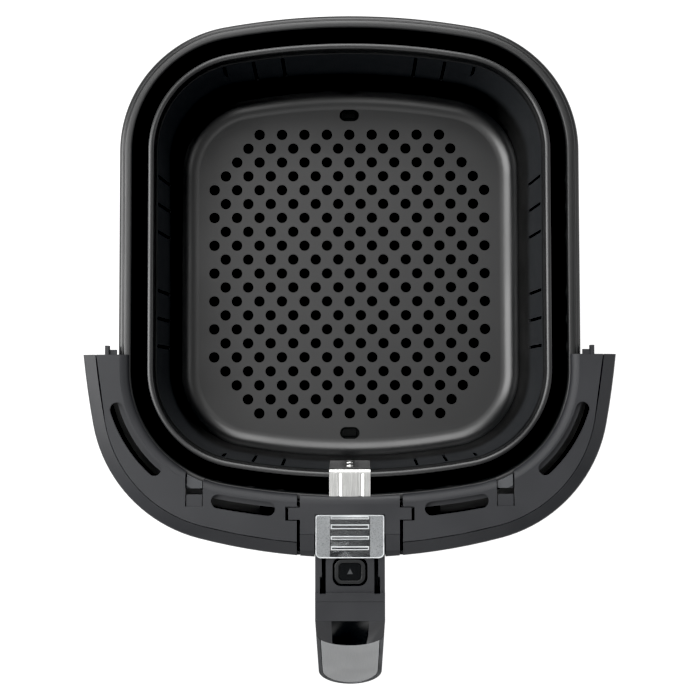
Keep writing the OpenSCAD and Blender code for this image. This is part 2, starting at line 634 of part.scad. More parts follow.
// The rear edge of the block's cover follows the frame's lip
module cover_lip() {
    x = frame_gap + clear;
    polygon(concat([[x, plate_h]], roll(x, plate_h + 0.6, lip_w - clear, shell_t - 0.6),
        [[frame_gap + lip_w + 2, top_h], [frame_gap + lip_w + 2, plate_h]]));
}
module handle_top() color(black_plastic) at_basket() difference() {
    union() {
        difference() {
            union() {
                mid_block(block_w, [block_seam_y, plate_h], [-(rim[1] + frame_gap + lip_w + 0.5), top_h]);
                intersection() {
                    sweep(rim, [front_arc]) cover_lip();
                    mid_block(block_w, [block_body_y, plate_h], [-rim[1], top_h]);
                }
                mid_block(block_w, [block_seam_y, split_h], [block_body_y, plate_h + 0.1]);
                both_sides() {
                    block([block_w / 2 - 3, ear_front_y, ear_foot], [ear_w / 2, block_body_y, plate_h + 0.1]);
                    block([block_w / 2 - 3, ear_front_y, plate_h], [ear_w / 2, block_body_y + ear_set, top_h]);
                }
            }
            mid_block(block_w - 2 * wall, [block_seam_y - 1, split_h - 1], [block_body_y - wall, plate_h]);
            mid_block(guard_w + 1, [block_seam_y - 1, arm_top], [cover_rear_y, top_h + 1]);
            mid_block(guard_w + 1, [cover_rear_y - 1, arm_top + 0.15], [guard_rear_y + clear, top_h + 1]);
            mid_block(strap_w + 0.6, [strap_block_y - strap_t - 0.3, strap_over - 24.3], [0, plate_h]);
        }
        mid_block(block_w, [block_seam_y, cover_foot], [cover_rear_y, arm_top]);
        mid_block(arm_w, [arm_end_y, cover_foot], [cover_rear_y, arm_top]);
        difference() {
            mid_block(arm_w, [arm_end_y - 8, split_h], [block_front_y, arm_top]);
            mid_block(arm_w - 2 * wall, [arm_end_y + wall, split_h - 1], [block_front_y + 1, cover_foot]);
        }
        mid_block(arm_w, [ridge_y - ridge_l, arm_top - 0.5], [ridge_y, arm_top + 1.9]);
        mid_block(arm_w, [arm_end_y, arm_top - 0.5], [ridge_y - ridge_l, arm_top + 1.3]);
    }
    translate([0, button_y, 0]) pad(well_w, well_l, 5, cover_foot - 1, arm_top + 1);
    rail_slots();
    on_grip() block([-arm_w, -0.05, -20], [arm_w, 40, grip_in + 0.05]);
}

// The grip's own frame: x across, y down the slope, z into its thickness
grip_in = 2.6;
module on_grip() translate([0, arm_end_y, arm_top + 1.3]) rotate([-90 - grip_lean, 0, 0]) children();
function grip_outline(inset, from = 0) =
    let (w = arm_w / 2 - inset, e = grip_end_l - inset, y = grip_l - grip_end_l)
    concat([[-w, from], [w, from]], [for (t = [0:7.5:180]) [w * cos(t), y + e * sin(t)]]);
module grip_solid(inset, low, high, from = 0)
    translate([0, 0, low]) linear_extrude(high - low) polygon(grip_outline(inset, from));
grip_post_s = [34, 78];
module handle_base() {
    shaft = pin_d + 0.02;
    color(black_plastic) at_basket() difference() {
        union() {
            difference() {
                mid_block(block_w, [block_front_y, block_foot], [block_body_y, split_h]);
                mid_block(block_w - 2 * wall, [block_front_y + wall, block_foot + wall], [block_body_y - wall, split_h + 1]);
            }
            difference() {
                union() {
                    mid_block(arm_w - 0.1, [arm_end_y + 3, arm_foot], [block_front_y + 1, split_h]);
                    intersection() {
                        on_grip() grip_solid(0, grip_in, grip_t);
                        mid_block(arm_w + 1, [tip_y - 5, -5], [arm_end_y + 40, split_h]);
                    }
                }
                mid_block(arm_w - 2 * wall, [arm_end_y + wall, arm_foot + wall], [block_front_y + wall + 1, split_h + 1]);
                intersection() {
                    on_grip() translate([0, 0, -1]) grip_solid(wall, grip_in, grip_t - wall + 1, 6);
                    mid_block(arm_w + 1, [tip_y - 5, -5], [arm_end_y + 40, arm_foot - 0.01]);
                }
                on_grip() grip_solid(wall, -3, grip_t - wall, 26);
            }
            // Ears for the lever's pin
            for (s = [-1, 1]) translate([s * 7.5, 0, 0])
                mid_block(3, [pivot_y - 4, block_foot + 1], [pivot_y + 4, pivot_h + 3.6]);
            // Posts for the grip's screws
            for (p = grip_post_s) on_grip() translate([0, p, grip_in]) cylinder(d = 8, h = grip_t - grip_in - 1);
        }
        translate([-20, pivot_y, pivot_h]) rotate([0, 90, 0]) cylinder(d = shaft, h = 40);
        mid_block(12, [pivot_y - 2.2, block_foot - 1], [pivot_y + 12, block_foot + wall + 1]);
        mid_block(12, [block_front_y - 1, arm_foot + wall], [block_front_y + wall + 1, split_h + 1]);
        mid_block(strap_w + 0.6, [strap_block_y - strap_t - 0.2, strap_over - 24.3], [strap_block_y - 0.01, split_h + 1]);
        for (x = [-1, 1]) translate([x * strap_screw_x, block_body_y + 1, strap_screw_h])
            rotate([90, 0, 0]) cylinder(d = screw_d, h = 5);
        for (p = grip_post_s) on_grip() translate([0, p, -1]) {
            cylinder(d = screw_d, h = grip_t + 5);
            translate([0, 0, grip_t - 1]) cylinder(d = screw_head_d + 0.6, h = 5);
        }
    }
}
module block_front() color(black_plastic) at_basket() difference() {
    union() {
        intersection() {
            sweep(housing, [front_arc]) fascia_profile();
            mid_block(block_w, [housing_y - 5, block_foot], [block_seam_y, top_h + 1]);
        }
        both_sides() block([arm_w / 2 + 0.4, block_front_y + 0.1, split_h + 0.1],
            [block_w / 2, block_seam_y - 0.15, top_h]);
    }
    mid_block(arm_w + 0.8, [housing_y - 6, arm_foot - 0.4], [block_rear_y, top_h + 2]);
}

cap_end = 23;
cap_sag = 19;
// The cap's lower edge is half an ellipse across the grip
function cap_edge(w, gap) = [for (t = [0:9:180]) [w * cos(t), cap_end + gap + cap_sag * sin(t)]];
module grip_cap() color("#17181a") at_basket() on_grip() linear_extrude(grip_in)
    polygon(concat([[-arm_w / 2, 0], [arm_w / 2, 0]], cap_edge(arm_w / 2, 0)));
bezel_w = 2.3;
module grip_bezel() color(grey_metal) at_basket() on_grip() difference() {
    grip_solid(0, 0, grip_in, cap_end + 0.3);
    translate([0, 0, -1]) linear_extrude(grip_in + 2)
        polygon(concat([[-arm_w / 2 + bezel_w, 0], [arm_w / 2 - bezel_w, 0]],
            [for (p = grip_outline(bezel_w)) if (p[1] > cap_end) p]));
    translate([0, 0, -1]) linear_extrude(grip_in + 2)
        polygon(concat([[-arm_w, 0], [arm_w, 0], [arm_w, cap_end + 0.3]], cap_edge(arm_w / 2, 0.3), [[-arm_w, cap_end + 0.3]]));
}
module grip_plate() color(grey_metal) at_basket() on_grip() difference() {
    grip_solid(bezel_w + 0.4, 0.2, grip_in, cap_end);
    translate([0, 0, -1]) linear_extrude(grip_in + 2)
        polygon(concat([[-arm_w, 0], [arm_w, 0], [arm_w, cap_end + 0.3]], cap_edge(arm_w / 2, 0.3), [[-arm_w, cap_end + 0.3]]));
}
module handle_screws() color(steel) at_basket() for (p = grip_post_s)
    on_grip() translate([0, p, grip_t - 1]) rotate([180, 0, 0]) screw(grip_t - grip_in - 2);

// ---------------------------------------------------------------- latch
module lever_pin() color(steel) at_basket() translate([-9.6, pivot_y, pivot_h]) rotate([0, 90, 0]) {
    cylinder(d = pin_d, h = 19.2);
    translate([0, 0, -1]) cylinder(d = pin_d + 2, h = 1);
}
lever_w = 8;
module latch_lever() color(steel) at_basket() difference() {
    union() {
        translate([-5, pivot_y, pivot_h]) rotate([0, 90, 0]) cylinder(d = 8, h = 10);
        mid_block(lever_w - 2, [pivot_y - lever_reach - 2, pivot_h - 2], [pivot_y, pivot_h + 1.6]);
        mid_block(lever_w, [pivot_y, pivot_h - 4], [pivot_y + 5, pivot_h + 1]);
        mid_block(lever_w, [pivot_y + 1.6, hook_foot], [pivot_y + 5, pivot_h]);
        mid_block(lever_w, [pivot_y - 1.8, hook_foot], [pivot_y + 5, hook_foot + 3.6]);
    }
    translate([-10, pivot_y, pivot_h]) rotate([0, 90, 0]) cylinder(d = pin_d + 0.08, h = 20);
}
button_top = arm_top - 0.2;
stem_y = pivot_y - lever_reach + 1;
module button_cap() color(black_plastic) at_basket() {
    translate([0, button_y, 0]) difference() {
        pad(button_w, button_l, 4.6, button_top - 5, button_top);
        pad(button_w - 5, button_l - 4.2, 2.6, button_top - 1.4, button_top + 1);
        pad(button_w - 3, button_l - 3, 3.2, button_top - 6, button_top - 2.6);
    }
    mid_block(4, [stem_y - 1, pivot_h + 2.1], [stem_y + 1, button_top - 2.4]);
}
module button_face() color("#111214") at_basket() translate([0, button_y, 0])
    pad(button_w - 5.2, button_l - 4.4, 2.5, button_top - 1.4, button_top - 0.5);

spring_y = button_y - 3;
spring_r = 2.6;
wire_d = 0.6;
spring_low = arm_foot + wall + wire_d / 2 + 0.05;
spring_high = button_top - 2.6 - wire_d / 2 - 0.05;
turns = 6;
turn_steps = 12;
wire_sides = 6;
module button_spring() color(steel) at_basket() translate([0, spring_y, 0]) {
    n = turns * turn_steps;
    rise = (spring_high - spring_low) / n;
    rings = [for (i = [0:n]) let (a = 360 * i / turn_steps)
        for (k = [0:wire_sides - 1]) let (b = 360 * k / wire_sides, r = spring_r + wire_d / 2 * cos(b))
            [r * cos(a), r * sin(a), spring_low + rise * i + wire_d / 2 * sin(b)]];
    faces = [for (i = [0:n - 1], k = [0:wire_sides - 1]) let (j = (k + 1) % wire_sides)
        [i * wire_sides + k, i * wire_sides + j, (i + 1) * wire_sides + j, (i + 1) * wire_sides + k]];
    ends = [[for (k = [wire_sides - 1:-1:0]) k], [for (k = [0:wire_sides - 1]) n * wire_sides + k]];
    polyhedron(rings, concat(faces, ends), convexity = 8);
}

// ---------------------------------------------------------------- guard
module slide_guard() color([0.85, 0.88, 0.9, 0.5]) at_basket() {
    low = arm_top + 0.2;
    translate([0, (guard_rear_y + guard_front_y) / 2, 0]) pad(guard_w, guard_l, 3.2, low, low + guard_t);
    // Cross ribs, thicker at the finger's place
    for (p = [[0.8, 1.6], [5.6, 2.6], [12.5, 1.9], [18.5, 2.1]])
        mid_block(22.6, [guard_rear_y - p[0] - p[1], low + guard_t - 0.2], [guard_rear_y - p[0], low + guard_t + 0.7]);
    // Hooked feet in the rails
    both_sides() {
        block([rail_x - 0.9, guard_front_y + 0.4, cover_foot - 2.2], [rail_x + 0.9, guard_front_y + 3.4, low + 0.2]);
        block([rail_x - 0.9, guard_front_y + 0.4, cover_foot - 2.2], [rail_x + 1.9, guard_front_y + 3.4, cover_foot - 0.4]);
    }
}

outer_pan();
rear_support();
front_support();
pan_clips();
pan_brackets();
front_frame();
front_fascia();
housing_liner();
latch_strike();
frame_screws();
fascia_screws();
bracket_screws();
strike_screws();
basket();
basket_strap();
strap_rivets();
strap_screws();
handle_top();
handle_base();
block_front();
grip_cap();
grip_bezel();
grip_plate();
handle_screws();
lever_pin();
button_cap();
button_face();
button_spring();
slide_guard();
latch_lever();
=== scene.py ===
"""The looks of an air fryer's drawer: pan, perforated basket, front housing, handle and latch."""
import json
import math

import bmesh
import bpy
from mathutils import Matrix, Vector


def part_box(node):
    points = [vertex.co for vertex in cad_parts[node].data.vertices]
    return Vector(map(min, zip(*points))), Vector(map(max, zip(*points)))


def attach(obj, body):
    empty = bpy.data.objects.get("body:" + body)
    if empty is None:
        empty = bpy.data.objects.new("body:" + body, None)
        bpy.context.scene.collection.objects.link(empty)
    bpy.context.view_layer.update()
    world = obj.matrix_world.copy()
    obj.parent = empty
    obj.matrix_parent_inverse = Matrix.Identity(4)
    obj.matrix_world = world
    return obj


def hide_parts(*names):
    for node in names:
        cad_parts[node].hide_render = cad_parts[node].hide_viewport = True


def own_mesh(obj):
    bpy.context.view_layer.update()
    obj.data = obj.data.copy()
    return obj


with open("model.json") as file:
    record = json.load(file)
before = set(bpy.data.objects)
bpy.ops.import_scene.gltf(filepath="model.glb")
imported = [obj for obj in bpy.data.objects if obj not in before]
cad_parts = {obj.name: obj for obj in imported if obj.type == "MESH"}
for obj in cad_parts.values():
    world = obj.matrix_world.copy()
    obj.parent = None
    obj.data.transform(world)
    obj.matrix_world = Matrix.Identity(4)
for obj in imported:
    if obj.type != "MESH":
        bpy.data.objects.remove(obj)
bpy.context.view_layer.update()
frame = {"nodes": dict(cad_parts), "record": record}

MM = 0.001
scene = bpy.context.scene
nodes = frame["nodes"]
body_of = {n: b for b, members in frame["record"]["behaviour"]["bodies"].items() for n in members}


# ---------------------------------------------------------------- nodes and colours
def linear(code):
    """An sRGB hex colour as the linear colour that a socket takes."""
    parts = [int(code[i:i + 2], 16) / 255 for i in (1, 3, 5)]
    return (*[c / 12.92 if c <= 0.04045 else ((c + 0.055) / 1.055) ** 2.4 for c in parts], 1.0)


def add(tree, kind, inputs=None, **settings):
    """Adds a node with its settings. An input takes a value, or a socket that is linked to it."""
    node = tree.nodes.new(kind)
    for name, value in settings.items():
        setattr(node, name, value)
    for name, value in (inputs or {}).items():
        for part in value if isinstance(value, list) else [value]:
            if isinstance(part, bpy.types.NodeSocket):
                tree.links.new(part, node.inputs[name])
            else:
                node.inputs[name].default_value = part
    return node


def grain(tree, size_mm, stretch=(1, 1, 1), detail=2.0, seed=0.0):
    """Noise whose features are size_mm across, longer along an axis where stretch is above 1."""
    place = add(tree, "ShaderNodeTexCoord")
    turned = add(tree, "ShaderNodeMapping", {
        "Vector": place.outputs["Object"],
        "Location": (seed, seed, seed),
        "Scale": tuple(1 / (size_mm * MM * s) for s in stretch),
    })
    return add(tree, "ShaderNodeTexNoise", {
        "Vector": turned.outputs["Vector"], "Scale": 1.0, "Detail": detail,
    }).outputs["Fac"]


# The middle range of a noise, which holds most of its values
NOISE_LOW, NOISE_HIGH = 0.35, 0.65


def varied(tree, tint, dark, light, cloud, rough_low, rough_high, *reliefs):
    """A finish: tint shifts its colour, cloud its roughness, and each relief is a noise and its depth in mm."""
    share = add(tree, "ShaderNodeMapRange", {"Value": tint, "From Min": NOISE_LOW, "From Max": NOISE_HIGH})
    colour = add(tree, "ShaderNodeMix", {
        0: share.outputs["Result"], 6: linear(dark), 7: linear(light)}, data_type="RGBA")
    roughness = add(tree, "ShaderNodeMapRange", {
        "Value": cloud, "From Min": NOISE_LOW, "From Max": NOISE_HIGH, "To Min": rough_low, "To Max": rough_high})
    inputs = {"Base Color": colour.outputs[2], "Roughness": roughness.outputs["Result"]}
    for height, depth_mm in reliefs:
        below = {"Normal": inputs["Normal"]} if "Normal" in inputs else {}
        bump = add(tree, "ShaderNodeBump", {"Height": height, "Distance": depth_mm * MM, "Strength": 1.0, **below})
        inputs["Normal"] = bump.outputs["Normal"]
    return inputs


def surface(name, build, **constants):
    """A material: build returns the linked inputs, and constants go on the shader's own sockets."""
    material = bpy.data.materials.new(name)
    material.use_nodes = True
    tree = material.node_tree
    tree.nodes.clear()
    inputs = {k.replace("_", " "): v for k, v in constants.items()}
    inputs.update(build(tree))
    shader = add(tree, "ShaderNodeBsdfPrincipled", inputs)
    out = add(tree, "ShaderNodeOutputMaterial")
    tree.links.new(shader.outputs[0], out.inputs["Surface"])
    return material


# ---------------------------------------------------------------- materials
# Heights in mm between which the painted shade on the basket's walls fades from black to their grey
SHADE_TOP = 64, 78


def sprayed_ptfe(dark, light, rough_low, rough_high, peel_mm):
    def build(tree):
        peel = grain(tree, peel_mm, detail=1.0)
        fleck = grain(tree, 0.5, detail=3.0, seed=3.0)
        cloud = grain(tree, 45, detail=2.0, seed=7.0)
        return varied(tree, fleck, dark, light, cloud, rough_low, rough_high, (peel, 0.01), (fleck, 0.005))
    return build


def ptfe_with_painted_shade(tree):
    fleck = grain(tree, 0.5, detail=3.0, seed=3.0)
    cloud = grain(tree, 30, detail=2.0, seed=8.0)
    # A greyer base than the basket's coating: painted light in place of the gleam high on the walls
    inputs = varied(tree, fleck, "#25272a", "#2f3133", cloud, 0.5, 0.58, (fleck, 0.005))
    place = add(tree, "ShaderNodeTexCoord")
    parts = add(tree, "ShaderNodeSeparateXYZ", {0: place.outputs["Object"]})
    # Painted shade: the colour turns near black towards the floor, below SHADE_TOP
    height = add(tree, "ShaderNodeMapRange", {
        "Value": parts.outputs["Z"], "From Min": SHADE_TOP[0] * MM, "From Max": SHADE_TOP[1] * MM},
        interpolation_type="SMOOTHSTEP")
    shade = add(tree, "ShaderNodeMix", {
        0: height.outputs["Result"], 6: linear("#060606"), 7: inputs["Base Color"]}, data_type="RGBA")
    inputs["Base Color"] = shade.outputs[2]
    return inputs


def eroded_plastic(dark, light, rough_low, rough_high, depth_mm=0.012):
    def build(tree):
        pits = grain(tree, 0.45, detail=3.0)
        cloud = grain(tree, 30, detail=2.0, seed=5.0)
        return varied(tree, cloud, dark, light, cloud, rough_low, rough_high, (pits, depth_mm))
    return build


def polished_plastic(tree):
    wave = grain(tree, 9, detail=1.0)
    dust = grain(tree, 0.8, detail=4.0, seed=2.0)
    return varied(tree, dust, "#141516", "#1a1b1c", dust, 0.07, 0.15, (wave, 0.01))


def brushed_metal(dark, light, rough_low, rough_high, along, line_mm, depth_mm):
    def build(tree):
        line = grain(tree, line_mm, stretch=along, detail=3.0)
        cloud = grain(tree, 12, detail=2.0, seed=4.0)
        return varied(tree, line, dark, light, cloud, rough_low, rough_high, (line, depth_mm))
    return build


def clear_polycarbonate(tree):
    flow = grain(tree, 6, stretch=(1, 3, 1), detail=2.0)
    return varied(tree, flow, "#e3e7e9", "#eef1f2", flow, 0.1, 0.16, (flow, 0.002))


def frosted_polycarbonate(tree):
    mist = grain(tree, 0.5, detail=3.0)
    return varied(tree, mist, "#9a9d9f", "#a9acae", mist, 0.25, 0.4, (mist, 0.006))


# Pale and opaque: painted highlight
def polycarbonate_with_painted_highlight(tree):
    flow = grain(tree, 5, stretch=(3, 1, 1), detail=2.0)
    return varied(tree, flow, "#c8ccce", "#e6e9ea", flow, 0.1, 0.18, (flow, 0.01))


POLYCARBONATE_IOR = 1.585
materials = {
    # Black PTFE sprayed on the pressed steel pan: nearly black, with a satin gleam and orange peel
    "pan_coating": surface("ptfe_coated_pan_steel", sprayed_ptfe(
        "#0c0d0d", "#121314", 0.3, 0.36, 1.6), Specular_IOR_Level=0.9),
    # The same coating on the basket, a little greyer and more even where food lies
    "basket_coating": surface("ptfe_coated_basket_steel", sprayed_ptfe(
        "#0b0c0d", "#121314", 0.31, 0.37, 1.4), Specular_IOR_Level=1.0),
    # Its steep walls and the pan's floor: duller, with painted shade that turns them black towards the floor, and
    # a greyer base higher up as painted light
    "painted_shade_coating": surface("dry_sprayed_ptfe_on_steel", ptfe_with_painted_shade, Specular_IOR_Level=0.25),
    # ABS from a spark-eroded mould: matt charcoal with a fine even grain
    "frame_plastic": surface("eroded_black_abs", eroded_plastic("#2b2c2f", "#303134", 0.5, 0.58)),
    # Polypropylene from a smoother mould: the same charcoal with a softer sheen
    "fascia_plastic": surface("satin_black_polypropylene", eroded_plastic(
        "#252629", "#2a2b2e", 0.42, 0.5, 0.008)),
    # Glass-filled PBT under the frame: black, painted deeper black than the visible shells as the shade it lies
    # in, and duller
    "liner_plastic": surface("glass_filled_black_pbt", eroded_plastic(
        "#050505", "#080808", 0.6, 0.7, 0.02), Specular_IOR_Level=0.1),
    # ABS of the handle: fine grain and a hint more gloss from the hand
    "handle_plastic": surface("grained_handle_abs", eroded_plastic("#2b2c2f", "#303134", 0.42, 0.52)),
    # ABS from a polished mould: a deep black mirror with a slight waviness
    "gloss_black": surface("polished_black_abs", polished_plastic, Specular_IOR_Level=0.1),
    # Vacuum metallised ABS: soft grey metal without a grain
    "bright_trim": surface("satin_metallised_abs", brushed_metal(
        "#8d8f92", "#999b9e", 0.3, 0.38, (1, 1, 1), 0.4, 0.004), Metallic=1.0),
    # Bead-blasted anodised aluminium: even grey with a faint vertical brushing
    "plate_metal": surface("anodised_aluminium", brushed_metal(
        "#e1e3e4", "#e8e9ea", 0.42, 0.45, (1, 30, 30), 0.3, 0.003), Metallic=1.0),
    # Buffed stainless steel: long fine lines along the strap and sharp reflections
    "strap_steel": surface("buffed_stainless_steel", brushed_metal(
        "#cacac8", "#e2e2e0", 0.17, 0.27, (1, 40, 40), 0.25, 0.002), Metallic=1.0),
    # Rolled stainless strip: duller, with the mill's grain
    "support_steel": surface("rolled_stainless_strip", brushed_metal(
        "#8f9294", "#a9abad", 0.24, 0.34, (30, 1, 1), 0.3, 0.003), Metallic=1.0),
    # Zinc-plated steel: pale grey with a faint cloudy passivation
    "screw_steel": surface("zinc_plated_steel", brushed_metal(
        "#9a9c9b", "#b4b5b0", 0.26, 0.36, (1, 1, 1), 0.8, 0.003), Metallic=1.0),
    # Drawn spring wire: dark bright steel with draw lines
    "spring_steel": surface("drawn_spring_wire", brushed_metal(
        "#77797b", "#8f9193", 0.2, 0.3, (1, 1, 6), 0.3, 0.002), Metallic=1.0),
    # Clear polycarbonate: see-through, with a slight haze from the flow of the melt
    "clear_plastic": surface("clear_polycarbonate", clear_polycarbonate,
                             Transmission_Weight=1.0, IOR=POLYCARBONATE_IOR),
    # The same polycarbonate where the mould was blasted: pale, scattering the light in its walls
    "frosted_plastic": surface("blasted_polycarbonate", frosted_polycarbonate,
                               Transmission_Weight=0.3, IOR=POLYCARBONATE_IOR),
    # Painted highlight on the edges and ribs of the same plastic: pale and opaque, standing for the light that
    # gathers in them
    "painted_highlight_plastic": surface("light_gathering_polycarbonate", polycarbonate_with_painted_highlight, IOR=POLYCARBONATE_IOR),
    # Black phosphate on steel strip: dull and nearly without gleam
    "phosphated_steel": surface("phosphated_steel_strip", eroded_plastic(
        "#0d0e0e", "#141515", 0.6, 0.75, 0.006), Specular_IOR_Level=0.15),
    # Acetal of the clips in the frame's windows: dark grey with a soft gleam
    "clip_plastic": surface("moulded_grey_acetal", eroded_plastic("#3b3d40", "#434548", 0.4, 0.5, 0.006)),
    # Fine-grained ABS of the button's frame
    "button_plastic": surface("button_abs", eroded_plastic("#1e1f20", "#242526", 0.24, 0.3, 0.006)),
    # Grey ABS moulded into the button as its raised mark: matt against the polish
    "mark_plastic": surface("grey_inlaid_abs", eroded_plastic("#3c3e40", "#46484a", 0.5, 0.6, 0.006)),
}


# ---------------------------------------------------------------- outlines
# Millimetres. Middle of pan and basket along Y
BASKET_Y = 64.0318
# Half width, half length, corner and end radius of the basket's rim, and points along side, corner and end
RIM_HALF_W, RIM_HALF_L, RIM_CORNER, RIM_BOW = 122.2, 132.0, 60.0, 410.0
SIDE_STEPS, CORNER_STEPS, END_STEPS = 10, 36, 24
# Basket: rim's height, floor's upper face, sheet and rolled rim's radius
RIM_H, FLOOR_H, BASKET_T, BEAD_R = 112.0, 28.5, 1.2, 2.1
# Pan: sheet
PAN_T = 1.0
# Radius between floor and wall, inside, and the points along it
FLOOR_R, FLOOR_STEPS = 11, 12
# How far the walls lean in, over the height of the straight wall, which ends at the step below the rolled rim
RIM_STEP = 2
WALL_LEAN, WALL_H = 4.8, RIM_H - 2 * BEAD_R - RIM_STEP - FLOOR_H - FLOOR_R
PAN_LEAN, PAN_WALL_H = 5.5, 95
# Outward from the rim's outline: the centre of the floor's radius, and the edge of the floor's flat sheet
TURN_X, SHEET_X = -21, -26
PAN_TURN_X, PAN_SHEET_X = -8.7, -45


def arc(x, y, radius, first, last, steps):
    """Points along an arc, its last point left out, angles in degrees."""
    turn = [math.radians(first + (last - first) * k / steps) for k in range(steps)]
    return [(x + radius * math.cos(a), y + radius * math.sin(a)) for a in turn]


def rim_outline():
    """The rim seen from above, counterclockwise: straight sides, round corners, bowed ends."""
    x, reach = RIM_HALF_W - RIM_CORNER, RIM_BOW - RIM_CORNER
    rise = math.sqrt(reach ** 2 - x ** 2)
    y = RIM_HALF_L - RIM_BOW + rise
    e = math.degrees(math.atan2(rise, x))
    end = RIM_HALF_L - RIM_BOW
    side = [(RIM_HALF_W, -y + 2 * y * k / SIDE_STEPS) for k in range(SIDE_STEPS)]
    line = side + arc(x, y, RIM_CORNER, 0, e, CORNER_STEPS) + arc(0, end, RIM_BOW, e, 180 - e, END_STEPS)
    line += arc(-x, y, RIM_CORNER, 180 - e, 180, CORNER_STEPS)
    return line + [(-px, -py) for px, py in line]


def bend(x, z, radius, first, last, steps):
    """Points round a corner of a profile, its last point included."""
    turn = [math.radians(first + (last - first) * k / steps) for k in range(steps + 1)]
    return [(x + radius * math.cos(a), z + radius * math.sin(a)) for a in turn]


def basket_profile():
    """From the floor's upper face up the inside, round the rolled rim and down the outside."""
    lean = math.degrees(math.atan2(WALL_LEAN, WALL_H))
    turn_z = FLOOR_H + FLOOR_R
    inner = bend(TURN_X, turn_z, FLOOR_R, -90, -lean, FLOOR_STEPS) + [(-5.2, 105.2), (-4.6, 106), (-4.25, 107)]
    bead = bend(-BEAD_R, RIM_H - BEAD_R, BEAD_R, 180, -115, 26)
    outer = [(-3, 107), (-3.4, 105.9), (-4, 105)]
    outer += bend(TURN_X, turn_z, FLOOR_R + BASKET_T, -lean, -86, FLOOR_STEPS)
    return [(SHEET_X, FLOOR_H)] + inner + bead + outer + [(SHEET_X, FLOOR_H - BASKET_T)]


def pan_profile():
    """From the floor's upper face over its raised rib, up the inside, over the flange and down the outside."""
    lean = math.degrees(math.atan2(PAN_LEAN, PAN_WALL_H))
    turn_z = PAN_T + FLOOR_R
    rib = [(PAN_SHEET_X, PAN_T), (-41, 1), (-40, 1.5), (-39.2, 2.1), (-36.2, 2.1), (-35.4, 1.5), (-34.4, 1)]
    inner = bend(PAN_TURN_X, turn_z, FLOOR_R, -90, -lean, FLOOR_STEPS)
    inner += [(8.75, 107.6), (8.95, 108.9), (9.45, 110), (10.2, 110.8)]
    flange = [(11.2, 111), (13.1, 110.9), (13.7, 110.6), (14.1, 109.9), (14.5, 109.7), (14.9, 109.8),
              (15.9, 109.5), (16.7, 108.9), (17.15, 108.2), (17.3, 107.3), (17.3, 101.4), (17, 101), (16.5, 101),
              (16.3, 101.4), (16.3, 107.2), (15.6, 108), (13, 109.3), (11.2, 109.8), (10.4, 109.2), (9.8, 107.6)]
    outer = bend(PAN_TURN_X, turn_z, FLOOR_R + PAN_T, -lean, -90, FLOOR_STEPS)
    return rib + inner + flange + outer + [(PAN_SHEET_X, 0)]


def linked(name, data):
    """A new object in the scene."""
    item = bpy.data.objects.new(name, data)
    scene.collection.objects.link(item)
    return item


def outline_mesh(name, points, closed, flip=False):
    """A line through points in millimetres, as a mesh of edges."""
    count = len(points)
    mesh = bpy.data.meshes.new(name)
    mesh.from_pydata([(p[0] * MM, (-p[1] if flip else p[1]) * MM, 0) for p in points],
                     [(k, (k + 1) % count) for k in range(count if closed else count - 1)], [])
    return linked(name, mesh)


def places(name, points, **values):
    """Loose points in metres, with a value or a vector stored on each."""
    mesh = bpy.data.meshes.new(name)
    mesh.from_pydata(points, [], [])
    for label, column in values.items():
        vector = isinstance(column[0], (tuple, list, Vector))
        attribute = mesh.attributes.new(label, "FLOAT_VECTOR" if vector else "FLOAT", "POINT")
        for item, value in zip(attribute.data, column):
            if vector:
                item.vector = value
            else:
                item.value = value
    return linked(name, mesh)


# ---------------------------------------------------------------- node trees that make shapes
def begun(name, **sockets):
    """A Geometry Nodes tree with named inputs, and the sockets that give them."""
    tree = bpy.data.node_groups.new(name, "GeometryNodeTree")
    tree.interface.new_socket("Geometry", in_out="OUTPUT", socket_type="NodeSocketGeometry")
    tree.interface.new_socket("Geometry", in_out="INPUT", socket_type="NodeSocketGeometry")
    for label, kind in sockets.items():
        tree.interface.new_socket(label.replace("_", " "), in_out="INPUT", socket_type="NodeSocket" + kind)
    tree.interface.new_socket("Finish", in_out="INPUT", socket_type="NodeSocketMaterial")
    return tree, add(tree, "NodeGroupInput").outputs


def ended(tree, given, geometry):
    """Closes a tree with Realize Instances and Set Material."""
    real = add(tree, "GeometryNodeRealizeInstances", {"Geometry": geometry})
    dressed = add(tree, "GeometryNodeSetMaterial", {
        "Geometry": real.outputs["Geometry"], "Material": given["Finish"]})
    add(tree, "NodeGroupOutput", {"Geometry": dressed.outputs["Geometry"]})
    return tree


def driven(item, tree, **values):
    """Puts a tree on an object, its inputs set by their sockets' identifiers."""
    modifier = item.modifiers.new(tree.name, "NODES")
    modifier.node_group = tree
    for socket in tree.interface.items_tree:
        key = socket.name.replace(" ", "_")
        if socket.item_type == "SOCKET" and socket.in_out == "INPUT" and key in values:
            modifier[socket.identifier] = values[key]


# Metres within which points become one: along a shell's seams, in a CAD node and in an outline
SHELL_WELD, NODE_WELD, LINE_WELD = 5e-6, 2e-6, 1e-6


